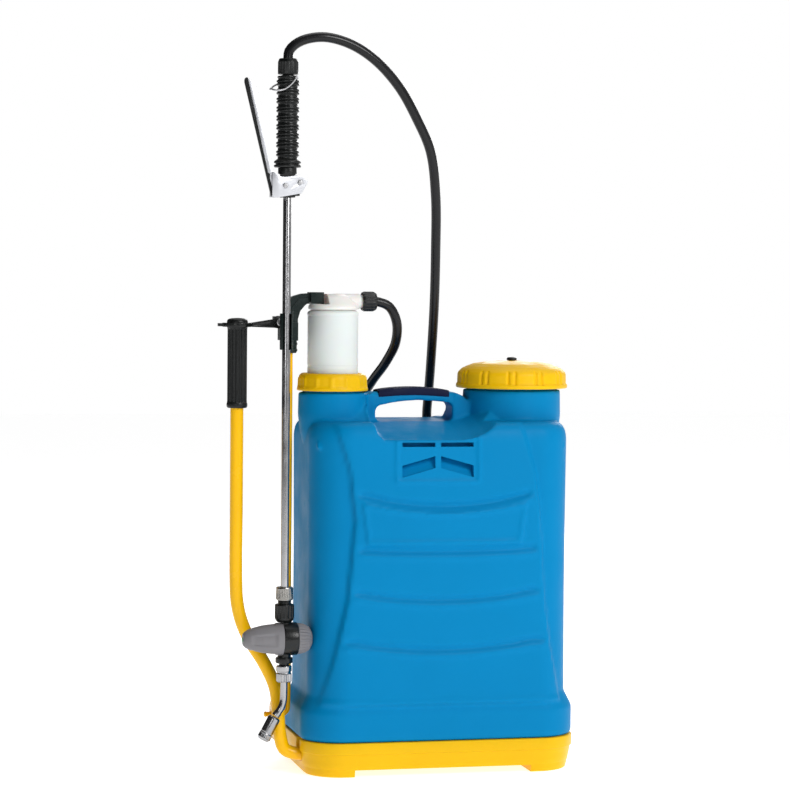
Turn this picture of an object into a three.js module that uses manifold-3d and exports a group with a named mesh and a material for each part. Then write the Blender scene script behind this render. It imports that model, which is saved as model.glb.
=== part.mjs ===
// Backpack lever sprayer, 16 litre class. Millimetres, +Z up, the tank's visible front faces -Y.
// Working coordinates are centred on the tank; the finished group is shifted onto its origin.
import * as THREE from 'three';
import { mergeVertices } from 'three/addons/utils/BufferGeometryUtils.js';
import Module from 'manifold-3d';

const wasm = await Module();
wasm.setup();

// ---------- driving dimensions ----------
const GAP = 0.35;
const TANK = { halfX: 163, halfY: 92, corner: 46, bottom: 36, seat: 43, shoulder: 404, roof: 432, wall: 3 };
const BAND = { halfX: 172, halfY: 98, top: 78, slope: 96 };
const BASE = { halfX: 173, halfY: 99, corner: 50, foot: 9, rim: 42.6, floorLow: 30, floorTop: 35.5 };
const PUMP = { x: -127, y: -15, neckR: 38, neckTop: 474, chamberR: 31.2, shoulder: 566, headTop: 587 };
const FILL = { x: 106, y: 0, neckR: 62, throatR: 50, neckTop: 481, capR: 70, capLow: 471, capTop: 505 };
const HANDLE = { x0: -84, x1: 36, openX0: -73, openX1: 25, low: 430, high: 456, top: 467, halfY: 15 };
const LEVER = { x: -248, y: -26, shaftX: -198, shaftY: -45, shaftZ: 24, tubeR: 8, low: 447, high: 557 };
const CRANK = { y: -14, z: 68, rodX: -180, rodR: 3, reach: -210, swingDeg: 75, stroke: 61 };
const LANCE = {
  x: -194, y: -62, tubeR: 5, regZ: 167.5, gripLow: 739, gripHigh: 849, hoseNutTop: 870,
  pinX: -180, pinZ: 721,
};
const STRAP = { x: 62, halfWidth: 20, thick: 3, anchorZ: 340 };
const HOSE_R = 6;
const SHIFT = { x: 45, y: -23.75, z: 0 };

const COLOURS = {
  blue: [0x0a74c4, 0.38, 0],
  yellow: [0xf2c50f, 0.4, 0],
  navy: [0x1e2250, 0.6, 0],
  milk: [0xe8e7e5, 0.35, 0],
  black: [0x17181a, 0.55, 0],
  grey: [0x8a878c, 0.5, 0],
  chrome: [0xd8dadd, 0.12, 1],
  steel: [0xb9bcc0, 0.3, 1],
  lever: [0xffd500, 0.3, 0],
  rubber: [0x1b1b1c, 0.8, 0],
  fabric: [0x202124, 0.95, 0],
  brass: [0xb8963e, 0.35, 1],
};

// ---------- helpers ----------
const group = new THREE.Group();

// Adds one named mesh made of the given geometry or solid.
function add(name, shape, colour) {
  const geometry = shape.isBufferGeometry ? shape : toGeometry(shape);
  const [color, roughness, metalness] = COLOURS[colour];
  const material = new THREE.MeshStandardMaterial({ color, roughness, metalness });
  const mesh = new THREE.Mesh(geometry, material);
  mesh.name = name;
  group.add(mesh);
}

// Position-only, welded geometry turned into a solid.
function solid(geometry) {
  const bare = new THREE.BufferGeometry();
  bare.setAttribute('position', geometry.getAttribute('position'));
  if (geometry.index) {
    bare.setIndex(geometry.index);
  }
  const welded = mergeVertices(bare, 1e-4);
  const mesh = new wasm.Mesh({
    numProp: 3,
    vertProperties: new Float32Array(welded.getAttribute('position').array),
    triVerts: new Uint32Array(welded.index.array),
  });
  return new wasm.Manifold(mesh);
}

function toGeometry(manifold) {
  const mesh = manifold.getMesh();
  const geometry = new THREE.BufferGeometry();
  geometry.setAttribute('position', new THREE.BufferAttribute(new Float32Array(mesh.vertProperties), 3));
  geometry.setIndex(new THREE.BufferAttribute(new Uint32Array(mesh.triVerts), 1));
  geometry.computeVertexNormals();
  return geometry;
}

function box(x0, x1, y0, y1, z0, z1) {
  const geometry = new THREE.BoxGeometry(x1 - x0, y1 - y0, z1 - z0);
  return solid(geometry.translate((x0 + x1) / 2, (y0 + y1) / 2, (z0 + z1) / 2));
}

// Turned shape standing on +Z. The profile holds [radius, z] pairs.
function turned(profile, x, y, segments = 20) {
  const points = profile.map(([r, z]) => new THREE.Vector2(r, z));
  const geometry = new THREE.LatheGeometry(points, segments);
  return solid(cleaned(geometry).rotateX(Math.PI / 2).translate(x, y, 0));
}

// Drops the zero-area triangles a lathe makes on its axis.
function cleaned(geometry) {
  const bare = new THREE.BufferGeometry();
  bare.setAttribute('position', geometry.getAttribute('position'));
  bare.setIndex(geometry.index);
  const welded = mergeVertices(bare, 1e-4);
  const index = welded.index.array;
  const kept = [];
  for (let i = 0; i < index.length; i += 3) {
    const [a, b, c] = [index[i], index[i + 1], index[i + 2]];
    if (a !== b && b !== c && c !== a) {
      kept.push(a, b, c);
    }
  }
  welded.setIndex(kept);
  return welded;
}

function disc(r, z0, z1, x, y, segments = 16) {
  return turned([[0, z0], [r, z0], [r, z1], [0, z1]], x, y, segments);
}

function ring(inner, outer, z0, z1, x, y, segments = 16) {
  return turned([[inner, z0], [outer, z0], [outer, z1], [inner, z1], [inner, z0]], x, y, segments);
}

// Turned shape lying along +X, its profile as [radius, x].
function turnedX(profile, y, z, segments = 20) {
  return turned(profile, 0, 0, segments).rotate([0, 90, 0]).translate([0, y, z]);
}

function turnedY(profile, x, z, segments = 16) {
  return turned(profile, 0, 0, segments).rotate([-90, 0, 0]).translate([x, 0, z]);
}

// Round drill along Y, long enough to pass through any part.
function drillY(r, x, z) {
  return turnedY([[0, -160], [r, -160], [r, 160], [0, 160]], x, z, 12);
}

// Outline of a rounded rectangle with the same number of points at every size.
function roundedOutline(halfX, halfY, corner, steps = 4) {
  const points = [];
  const centres = [[1, 1, 0], [-1, 1, 90], [-1, -1, 180], [1, -1, 270]];
  for (const [sx, sy, start] of centres) {
    for (let i = 0; i <= steps; i += 1) {
      const angle = THREE.MathUtils.degToRad(start + (90 * i) / steps);
      const x = sx * (halfX - corner) + corner * Math.cos(angle);
      const y = sy * (halfY - corner) + corner * Math.sin(angle);
      points.push([x, y]);
    }
  }
  return points;
}

// Closed solid through rounded-rectangle levels [z, halfX, halfY, corner].
function lofted(levels) {
  const rings = levels.map(([z, hx, hy, c]) => roundedOutline(hx, hy, c).map(([x, y]) => [x, y, z]));
  const count = rings[0].length;
  const vertices = rings.flat();
  const index = [];
  for (let level = 0; level < rings.length - 1; level += 1) {
    for (let i = 0; i < count; i += 1) {
      const a = level * count + i;
      const b = level * count + ((i + 1) % count);
      index.push(a, b, b + count, a, b + count, a + count);
    }
  }
  const low = vertices.length;
  vertices.push([0, 0, levels[0][0]], [0, 0, levels[levels.length - 1][0]]);
  const last = (rings.length - 1) * count;
  for (let i = 0; i < count; i += 1) {
    const next = (i + 1) % count;
    index.push(low, next, i, low + 1, last + i, last + next);
  }
  const geometry = new THREE.BufferGeometry();
  geometry.setAttribute('position', new THREE.Float32BufferAttribute(vertices.flat(), 3));
  geometry.setIndex(index);
  return solid(geometry);
}

// Flat outline of [u, v] points pushed through a thickness; axis names the push direction.
function plate(outline, from, to, axis) {
  const shape = new THREE.Shape(outline.map(([u, v]) => new THREE.Vector2(u, v)));
  const options = { depth: to - from, bevelEnabled: false, curveSegments: 8 };
  const body = solid(new THREE.ExtrudeGeometry(shape, options)).translate([0, 0, from]);
  if (axis === 'y') {
    return body.transform([1, 0, 0, 0, 0, 0, 1, 0, 0, 1, 0, 0, 0, 0, 0, 1]);
  }
  if (axis === 'x') {
    return body.transform([0, 1, 0, 0, 0, 0, 1, 0, 1, 0, 0, 0, 0, 0, 0, 1]);
  }
  return body;
}

function tube(points, radius, steps, sides = 8) {
  const path = new THREE.CatmullRomCurve3(points.map((p) => new THREE.Vector3(...p)), false, 'centripetal');
  const circle = new THREE.Shape();
  circle.absarc(0, 0, radius, 0, Math.PI * 2);
  const options = { steps, extrudePath: path, curveSegments: sides, bevelEnabled: false };
  return solid(new THREE.ExtrudeGeometry(circle, options));
}

function united(parts) {
  return wasm.Manifold.union(parts);
}

// Constant-thickness band following [y, z] points, pushed through X from x0 to x1.
function band(points, thick, x0, x1) {
  const line = new THREE.SplineCurve(points.map(([y, z]) => new THREE.Vector2(y, z)));
  const outer = [];
  const inner = [];
  const steps = points.length * 2;
  for (let i = 0; i <= steps; i += 1) {
    const p = line.getPoint(i / steps);
    const t = line.getTangent(i / steps);
    outer.push([p.x + (t.y * thick) / 2, p.y - (t.x * thick) / 2]);
    inner.unshift([p.x - (t.y * thick) / 2, p.y + (t.x * thick) / 2]);
  }
  return plate([...outer, ...inner], x0, x1, 'x');
}

// ---------- tank ----------
function tankLevels(inset) {
  const { halfX, halfY, corner } = TANK;
  const c = corner - inset;
  return [
    [TANK.shoulder, halfX - inset, halfY - inset, c],
    [420, halfX - 5 - inset, halfY - 6 - inset, c - 4],
    [TANK.roof - inset, halfX - 22 - inset, halfY - 24 - inset, c - 18],
  ];
}

function tankOuter() {
  return lofted([
    [TANK.bottom, BASE.halfX - 13, BASE.halfY - 13, 38],
    [TANK.seat, BASE.halfX - 13, BASE.halfY - 13, 38],
    [TANK.seat + 0.2, BAND.halfX, BAND.halfY, 49],
    [BAND.top, BAND.halfX, BAND.halfY, 49],
    [BAND.slope, TANK.halfX, TANK.halfY, TANK.corner],
    ...tankLevels(0),
  ]);
}

function tankInner() {
  const w = TANK.wall;
  return lofted([
    [TANK.seat + 5, BAND.halfX - 14, BAND.halfY - 14, 38],
    [BAND.top, BAND.halfX - w - 1, BAND.halfY - w - 1, 44],
    [BAND.slope, TANK.halfX - w, TANK.halfY - w, TANK.corner - w],
    ...tankLevels(w),
  ]);
}

function handleArch() {
  const h = HANDLE;
  const outer = [
    [h.x0, 418], [h.x1, 418], [h.x1, h.top - 3], [h.x1 - 8, h.top], [h.x0 + 8, h.top], [h.x0, h.top - 3],
  ];
  const hip = [[-150, 416], [125, 416], [125, 425], [h.x1, 458], [h.x0, 458], [-150, 428]];
  return plate(outer, -h.halfY, h.halfY, 'y').add(plate(hip, -22, 22, 'y'));
}

function handOpening() {
  const h = HANDLE;
  const outline = [
    [h.openX0, h.low + 5], [h.openX0 + 5, h.low], [h.openX1 - 5, h.low], [h.openX1, h.low + 5],
    [h.openX1, h.high - 7], [h.openX1 - 9, h.high - 1], [h.openX0 + 45, h.high], [h.openX0 + 9, h.high - 1],
    [h.openX0, h.high - 7],
  ];
  return plate(outline, -120, 120, 'y');
}

function buildTank() {
  const pumpNeck = disc(42, 400, PUMP.neckTop - 8, PUMP.x, PUMP.y, 20)
    .add(disc(37, 400, PUMP.neckTop, PUMP.x, PUMP.y, 20));
  const fillNeck = disc(FILL.neckR - 1, 400, FILL.neckTop - 12, FILL.x, FILL.y, 24)
    .add(disc(56, 400, FILL.neckTop, FILL.x, FILL.y, 24));
  const frontPlate = plate([[-92, 316], [102, 316], [96, 270], [-84, 270]], -95, -80, 'y');
  const outer = united([tankOuter(), pumpNeck, fillNeck, handleArch(), frontPlate]);
  const voids = [
    tankInner(),
    disc(PUMP.neckR - 4.4, 390, 500, PUMP.x, PUMP.y, 20),
    disc(FILL.throatR, 390, 500, FILL.x, FILL.y, 24),
    handOpening(),
  ];
  for (const [x, y] of screwSpots()) {
    voids.push(disc(2.9, TANK.bottom - 1, TANK.bottom + 7, x, y, 10));
  }
  for (const x of [-50, 50]) {
    voids.push(box(x - 20, x + 20, -93, -88.5, 382, 388));
  }
  add('tank_shell', outer.subtract(united(voids)), 'blue');
}

function screwSpots() {
  return [[-120, -66], [120, -66], [-120, 56], [120, 56]];
}

function buildHandlePad() {
  const h = HANDLE;
  const pad = box(h.openX0 + 4, h.openX1 - 4, -h.halfY - 3, h.halfY + 3, h.high + 3, h.top + 5);
  const bar = box(h.openX0 - 20, h.openX1 + 20, -h.halfY - GAP, h.halfY + GAP, h.high - 20, h.top + GAP);
  add('handle_pad', pad.subtract(bar), 'navy');
}

// ---------- base ----------
function buildBase() {
  const { halfX, halfY, corner, foot, rim, floorLow, floorTop } = BASE;
  const outer = lofted([
    [foot, halfX - 8, halfY - 8, corner - 6],
    [foot + 8, halfX - 4, halfY - 4, corner - 3],
    [30, halfX, halfY, corner],
    [rim, halfX, halfY, corner],
  ]);
  const feet = [
    lofted([[0, 25, 70, 8], [foot + 1, 31, 78, 8]]).translate([-130, 0, 0]),
    lofted([[0, 25, 70, 8], [foot + 1, 31, 78, 8]]).translate([130, 0, 0]),
  ];
  const pocket = lofted([
    [floorTop, halfX - 12.5, halfY - 12.5, 38.5],
    [rim + 5, halfX - 12.5, halfY - 12.5, 38.5],
  ]);
  const under = lofted([[foot - 5, 92, 77, 4], [floorLow, 92, 77, 4]]);
  const bore = turnedX([[0, -230], [9.4, -230], [9.4, -88], [0, -88]], LEVER.shaftY, LEVER.shaftZ, 16);
  const mouth = box(-230, -165, LEVER.shaftY - 9.6, LEVER.shaftY + 9.6, 14.5, 60);
  const cuts = [pocket, under, bore, mouth];
  for (const [x, y] of screwSpots()) {
    cuts.push(disc(2.9, -5, 60, x, y, 10), disc(6.4, -5, floorLow, x, y, 12));
  }
  for (const x of [-62, 62]) {
    cuts.push(box(x - 21, x + 21, 85, 120, 13, 24));
  }
  add('base_skid', united([outer, ...feet]).subtract(united(cuts)), 'yellow');
  screwSpots().forEach(([x, y], i) => {
    const head = disc(6, floorLow - 4, floorLow - GAP, x, y, 12);
    add(`base_screw_${i + 1}`, head.add(disc(2.5, floorLow - 2, floorTop + 6, x, y, 10)), 'steel');
  });
}

// ---------- pump ----------
function buildPumpFixed() {
  const { x, y, neckTop } = PUMP;
  const cylinder = [
    [0, 190], [22, 190], [22, 325], [32.6, 333], [32.6, neckTop + 0.4], [36.8, neckTop + 0.4],
    [36.8, neckTop + 3.4], [31.7, neckTop + 3.4], [31.7, 336], [18.5, 328], [18.5, 196], [5, 196],
    [5, 192], [0, 192],
  ];
  const inlet = disc(6, 180, 200, x, y, 12);
  add('pump_cylinder', turned(cylinder, x, y, 20).subtract(inlet), 'grey');
  const valve = [[5, 174], [11, 174], [11, 189.6], [5.4, 189.6], [5.4, 182], [4, 180], [4, 176], [5, 174]];
  add('inlet_valve', turned(valve, x, y, 14), 'black');
  const ball = [[0, 182.8], [3.6, 184.4], [4.6, 187.4], [3.6, 190.4], [0, 192]];
  add('inlet_ball', turned(ball, x, y, 10), 'steel');
  const gasket = ring(34, 40.2, neckTop + 3.8, neckTop + 6, x, y, 24);
  add('collar_gasket', gasket, 'rubber');
  const collar = turned([
    [33, neckTop + 6.4], [41, neckTop + 6.4], [41, neckTop + 3], [39, neckTop + 1], [39, neckTop - 6],
    [43.6, neckTop - 6], [43.6, neckTop - 2], [42.4, neckTop + 1], [42.4, neckTop + 11],
    [39, neckTop + 15.5],
    [33, neckTop + 15.5], [33, neckTop + 6.4],
  ], x, y, 20);
  add('collar_nut', collar, 'yellow');
}

function buildPumpMoving() {
  const { x, y, chamberR: r, shoulder, headTop } = PUMP;
  const shell = [
    [17, 402], [r, 402], [r, shoulder - 2], [r - 1.5, shoulder], [r - 4, shoulder + 1],
    [r - 4, shoulder - 2.6], [r - 3, shoulder - 3.6], [r - 3, 406], [17, 406], [17, 402],
  ];
  add('pressure_chamber', turned(shell, x, y, 20), 'milk');
  const dome = turned([
    [0, shoulder - 8], [r - 4.4, shoulder - 8], [r - 4.4, shoulder + 1.4], [r - 1, shoulder + 1.4],
    [r - 1, shoulder + 8], [r - 6, shoulder + 14], [20, headTop - 2], [12, headTop], [0, headTop],
  ], x, y, 24);
  const head = dome.subtract(box(x - 40, x - 9.6, y - 40, y + 40, shoulder + 8.1, headTop + 9));
  const spigot = turnedX([[0, x], [8, x], [8, x + 46], [0, x + 46]], y, 578, 14);
  add('chamber_head', head.add(spigot), 'milk');
  const nut = [
    [8.4, x + 36], [12, x + 36], [12, x + 54], [7.2, x + 54], [7.2, x + 46.5], [8.4, x + 46.5],
    [8.4, x + 36],
  ];
  add('outlet_nut', turnedX(nut, y, 578, 16), 'black');
  const piston = [[9, 262], [14, 262], [14, 398], [16.6, 402], [16.6, 415], [9, 415], [9, 262]];
  add('piston_tube', turned(piston, x, y, 16), 'grey');
  const seal = ring(14.4, 18.1, 265, 275, x, y, 16);
  add('piston_seal', seal, 'rubber');
}

// Bracket on the chamber head that carries the link rod, the lock arm and the lance clip.
function buildRodHead() {
  const { x, y, shoulder, headTop } = PUMP;
  const { rodX, y: rodY } = CRANK;
  const block = box(x - 30, x - 10, y - 16, y + 16, shoulder + 8.5, headTop + 3);
  const shelf = box(x - 30, x - 20, rodY - 7, y, shoulder + 8.5, headTop + 1);
  const arm = plate([
    [x - 32.6, 575], [x - 26, 575], [x - 26, 588], [x - 40, 587], [rodX - 5, 572], [rodX - 8, 558],
    [rodX - 8, 534], [rodX + 8, 534], [rodX + 8, 552],
  ], rodY - 7, rodY + 7, 'y');
  const socket = disc(8, 514, 566, rodX, rodY, 16);
  const lockBoss = box(rodX - 22, rodX, rodY - 7, rodY + 4, 545, 559);
  const clipBack = box(LANCE.x - 4, rodX + 2, LANCE.y + 8, rodY, 524, 540);
  const clip = ring(LANCE.tubeR + GAP, LANCE.tubeR + 3.4, 524, 540, LANCE.x, LANCE.y, 16);
  const mouth = box(LANCE.x - 5.3, LANCE.x + 5.3, LANCE.y - 20, LANCE.y, 500, 560);
  const rodHole = disc(CRANK.rodR + GAP, 500, 552, rodX, rodY, 12);
  const around = disc(6.6, 500, 600, LANCE.x, LANCE.y, 16);
  const grasp = [clipBack.subtract(around), clip.subtract(mouth)];
  const bracket = united([block, shelf, arm, socket, lockBoss, ...grasp]);
  add('rod_head', bracket.subtract(rodHole), 'black');
}

function buildLinkRod() {
  const { rodX, y, z, rodR, reach } = CRANK;
  const upper = disc(rodR, z, 550, rodX, y, 10);
  const hook = turnedX([
    [0, reach], [rodR - 0.8, reach], [rodR, reach + 1.5], [rodR, rodX + 2], [0, rodX + 2],
  ], y, z, 10);
  add('link_rod', upper.add(hook), 'lever');
}

// ---------- lever ----------
// Where the crank pin lies in the lever's own frame while both move through the stroke.
function crankTrack() {
  const track = [];
  const steps = 12;
  for (let i = 0; i <= steps; i += 1) {
    const swing = THREE.MathUtils.degToRad((CRANK.swingDeg * i) / steps);
    const dy = CRANK.y - LEVER.shaftY;
    const dz = CRANK.z - (CRANK.stroke * i) / steps - LEVER.shaftZ;
    const yy = dy * Math.cos(swing) - dz * Math.sin(swing);
    const zz = dy * Math.sin(swing) + dz * Math.cos(swing);
    track.push([LEVER.shaftY + yy, LEVER.shaftZ + zz]);
  }
  return track;
}

function buildLever() {
  const { x, y, shaftX, shaftY, shaftZ, tubeR, low, high } = LEVER;
  const path = [
    [-96, shaftY, shaftZ], [-130, shaftY, shaftZ], [-176, shaftY, shaftZ], [-190, shaftY, shaftZ + 6],
    [-195.5, shaftY, shaftZ + 24], [shaftX, shaftY, 76], [-201, shaftY + 4, 105], [-214, y - 8, 135],
    [-230, y - 1, 161], [-241, y, 186], [-246.5, y, 210], [x, y, 240], [x, y, 330], [x, y, high - 6],
  ];
  const ear = plate([
    [shaftY - 2, 40], [shaftY + 26, 38], [shaftY + 44, 58], [shaftY + 44, 78], [shaftY + 26, 84],
    [shaftY - 2, 78],
  ], shaftX - 3, shaftX + 2, 'x');
  const slotProfile = [[0, -230], [4.9, -230], [4.9, -170], [0, -170]];
  const slotPins = crankTrack().map(([pinY, pinZ]) => turnedX(slotProfile, pinY, pinZ, 10));
  add('lever_tube', tube(path, tubeR, 34, 8).add(ear).subtract(united(slotPins)), 'lever');
  const grip = [
    [8.4, low], [11.5, low], [12.6, low + 4], [12.4, high - 10], [12.8, high - 4], [10, high + 1],
    [0, high + 3],
    [0, high - 4], [8.4, high - 4], [8.4, low],
  ];
  add('lever_grip', turned(grip, x, y, 18), 'rubber');
}

function buildLockArm() {
  const { y: rodY, rodX } = CRANK;
  const z = 552;
  const front = rodY - 7.4;
  const outline = [
    [rodX - 10, z + 8], [rodX - 10, z - 8], [rodX - 22, z - 7], [-232, z - 6], [-232, z - 1],
    [rodX - 24, z + 3],
  ];
  const bar = plate(outline, front - 8, front, 'y');
  const pinHole = drillY(2.8, rodX - 16, z);
  const { x, y } = LEVER;
  const hook = ring(15.8, 19.2, z - 6, z - 1, x, y, 20);
  const mouth = box(x - 20, x + 20, y + 4, y + 30, z - 20, z + 20);
  add('lock_arm', bar.add(hook.subtract(mouth)).subtract(pinHole), 'black');
  const pin = [
    [0, front - 10.4], [4.4, front - 10.4], [4.4, front - 8.35], [2.4, front - 8.35],
    [2.4, front + 0.2], [0, front + 0.2],
  ];
  add('lock_pin', turnedY(pin, rodX - 16, z, 12), 'steel');
}

// ---------- filler ----------
function buildFiller() {
  const { x, y, neckTop, capR, capLow, capTop } = FILL;
  const basket = [
    [46.6, neckTop - 70], [48.6, neckTop - 66], [48.6, neckTop + GAP], [55, neckTop + GAP],
    [55, neckTop + 3],
    [46.6, neckTop + 3], [46.6, neckTop - 64], [0, neckTop - 64], [0, neckTop - 70], [46.6, neckTop - 70],
  ];
  add('strainer_basket', turned(basket, x, y, 20), 'black');
  add('cap_gasket', ring(49, 55.5, neckTop + 3.4, neckTop + 5.4, x, y, 20), 'rubber');
  const cap = turned([
    [0, neckTop + 5.8], [57.6, neckTop + 5.8], [57.6, capLow + 2], [62.5, capLow + 2], [62.5, capLow],
    [capR, capLow],
    [capR, capLow + 5], [capR - 3, capLow + 8], [capR - 4, capLow + 22], [capR - 9, capLow + 28],
    [capR - 30, capTop - 2], [0, capTop],
  ], x, y, 24);
  const ventHole = disc(4.4, 470, 520, x, y, 12);
  add('filler_cap', cap.subtract(ventHole), 'yellow');
  const vent = [
    [0, neckTop + 4], [4, neckTop + 4], [4, capTop + 0.3], [6, capTop + 0.3], [6, capTop + 3],
    [0, capTop + 4],
  ];
  add('vent_valve', turned(vent, x, y, 12), 'black');
}

// ---------- lance ----------
function buildLance() {
  const { x, y, tubeR, regZ, gripLow, gripHigh, hoseNutTop, pinX, pinZ } = LANCE;
  add('hose_nut', ring(7.4, 12.5, gripHigh + 2, hoseNutTop, x, y, 18), 'black');
  const grip = [
    [8.4, gripLow], [16.5, gripLow], [16.5, gripLow + 8], [12.6, gripLow + 11], [12.6, gripHigh],
    [8.4, gripHigh], [8.4, gripLow],
  ];
  add('handle_grip', turned(grip, x, y, 18), 'black');
  const core = turned([
    [0, gripLow - 8], [11.5, gripLow - 8], [11.5, gripLow - 0.4], [8, gripLow - 0.4], [8, gripHigh + 1],
    [6, gripHigh + 1], [6, hoseNutTop - 8], [0, hoseNutTop - 8],
  ], x, y, 16);
  const block = box(x - 8, x + 18, y - 7, y + 7, 703, gripLow - 2);
  const tubeHole = disc(tubeR + GAP, 690, 720, x, y, 14);
  const slot = box(x - 12, x - 4, y - 3.6, y + 3.6, 698, gripLow - 8);
  const pinHole = drillY(2.4, pinX, pinZ);
  add('valve_body', core.add(block).subtract(united([tubeHole, slot, pinHole])), 'steel');
  add('lance_tube', disc(tubeR, 221, 718, x, y, 14), 'steel');
  buildTrigger();
  add('lance_nut', ring(5.4, 10.5, 215, 231, x, y, 16), 'steel');
  const inlet = [[0, 188], [9, 188], [12, 192.5], [12, 210], [8, 210], [8, 214.6], [0, 214.6]];
  add('regulator_nut', turned(inlet, x, y, 16), 'black');
  buildRegulator(x, y, regZ);
  add('nozzle_nut', ring(6.4, 9.5, 115, 135, x, y, 14), 'chrome');
  const pipe = [
    [x, y, 118.6], [x, y, 104], [x - 0.6, y, 92], [x - 3, y, 84], [x - 6.5, y, 80.5],
    [x - 10.3, y, 73.4],
  ];
  add('nozzle_pipe', tube(pipe, 4.5, 10, 10), 'chrome');
  const tip = turned([[0, 0], [7, 0], [7, 18], [8, 20], [8, 30], [5, 32], [0, 32]], 0, 0, 14);
  add('nozzle_tip', tip.rotate([180, 0, 0]).rotate([0, 28, 0]).translate([x - 10.9, y, 72.2]), 'chrome');
}

// Pressure regulator: a round body lying along X with a turning knob on its outer end.
function buildRegulator(x, y, regZ) {
  const knobBase = x - 2.4;
  const body = turnedX([[0, x - 2], [20, x - 2], [20, x + 19], [15, x + 31], [0, x + 34]], y, regZ, 20);
  const neck = united([
    disc(8, regZ - 23, 187.6, x, y, 14), disc(10.5, 138, 145, x, y, 16), disc(6, 119, 141, x, y, 14),
  ]);
  const knobRoom = box(x - 70, x - 2, y - 30, y + 30, regZ - 20.4, regZ + 20.1);
  add('regulator_body', body.add(neck).subtract(knobRoom), 'grey');
  const knob = [
    [0, x - 51], [6, x - 50], [8, x - 45], [18.6, x - 8], [19.6, knobBase], [0, knobBase],
  ];
  add('regulator_knob', turnedX(knob, y, regZ, 20), 'grey');
}

// Squeeze trigger beside the grip: a channel hung from the cheek pin, and its wire catch.
function buildTrigger() {
  const { y, pinX, pinZ } = LANCE;
  const web = plate([
    [-247, 843], [-242, 844], [-233, 833], [-215.5, 750], [-214.5, 738], [-210, 731.5], [-206.5, 716],
    [-206.5, 703], [-214, 703],
  ], y - 7, y + 7, 'y');
  const cheek = [
    [-214, 733.5], [-209, 733], [-206, 728], [-200, 727.6], [-190, 728.8], [-180, 730], [-172, 727],
    [-170.5, 717], [-177, 708], [-205, 703], [-214, 703],
  ];
  const near = plate(cheek, y - 9.6, y - 7.4, 'y');
  const far = plate(cheek, y + 7.4, y + 9.6, 'y');
  const bridge = box(-214, -209.5, y - 8, y + 8, 704, 728);
  add('trigger_lever', united([web, near, far, bridge]).subtract(drillY(2.4, pinX, pinZ)), 'steel');
  const pin = [
    [0, y - 11.6], [4, y - 11.6], [4, y - 9.9], [2, y - 9.9], [2, y + 9.9], [4, y + 9.9], [4, y + 11.6],
    [0, y + 11.6],
  ];
  add('trigger_pin', turnedY(pin, pinX, pinZ, 12), 'steel');
}

// Wire stirrup that swings over the squeezed trigger and holds it.
function buildCatchWire() {
  const { x, y, gripHigh } = LANCE;
  const top = gripHigh - 1;
  const leg = [[x + 9, top], [x + 7, top - 2.4], [x - 20.6, top - 16.6], [x - 20.6, top - 14.2]];
  const near = plate(leg, y - 15.6, y - 13.6, 'y');
  const far = plate(leg, y + 13.6, y + 15.6, 'y');
  const cross = box(x - 20.8, x - 18.8, y - 15.6, y + 15.6, top - 16, top - 14);
  add('catch_wire', united([near, far, cross]), 'steel');
}

// ---------- hoses ----------
function buildHoses() {
  const back = TANK.halfY + HOSE_R + 3;
  const pump = [
    [-80, -15, 578], [-72, -15, 578], [-56, -14, 572], [-45, -8, 553], [-43, 4, 528], [-50, 28, 502],
    [-61, 60, 476], [-69, back - 12, 450], [-72, back, 424], [-70, back, 400], [-58, back, 381],
    [-38, back, 371],
    [-14, back, 371], [8, back, 386], [20, back, 406], [21, back, 424],
  ];
  add('hose_pump_loop', tube(pump, HOSE_R, 28, 6), 'rubber');
  const main = [
    [21, back, 425], [21, back, 436], [21, back - 8, 460], [20, 80, 490], [17, 50, 570], [12, 24, 640],
    [5, -2, 710],
    [-7, -22, 764], [-27, -34, 802], [-52, -44, 840], [-84, -54, 871], [-116, -59, 889.5], [-148, -62, 897],
    [-172, -62, 894], [-186, -62, 887], [-193, -62, 879], [LANCE.x, LANCE.y, 872],
    [LANCE.x, LANCE.y, LANCE.hoseNutTop - 5.5],
  ];
  add('hose_main', tube(main, HOSE_R, 30, 6), 'rubber');
  const clip = ring(HOSE_R + 0.4, HOSE_R + 3, 412, 422, 21, back, 14);
  const tail = box(9, 33, TANK.halfY + GAP - 0.05, TANK.halfY + 2.6, 406, 428);
  const hole = disc(HOSE_R + 0.4, 400, 430, 21, back, 14);
  add('hose_clip', clip.add(tail).subtract(hole), 'black');
}

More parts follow.
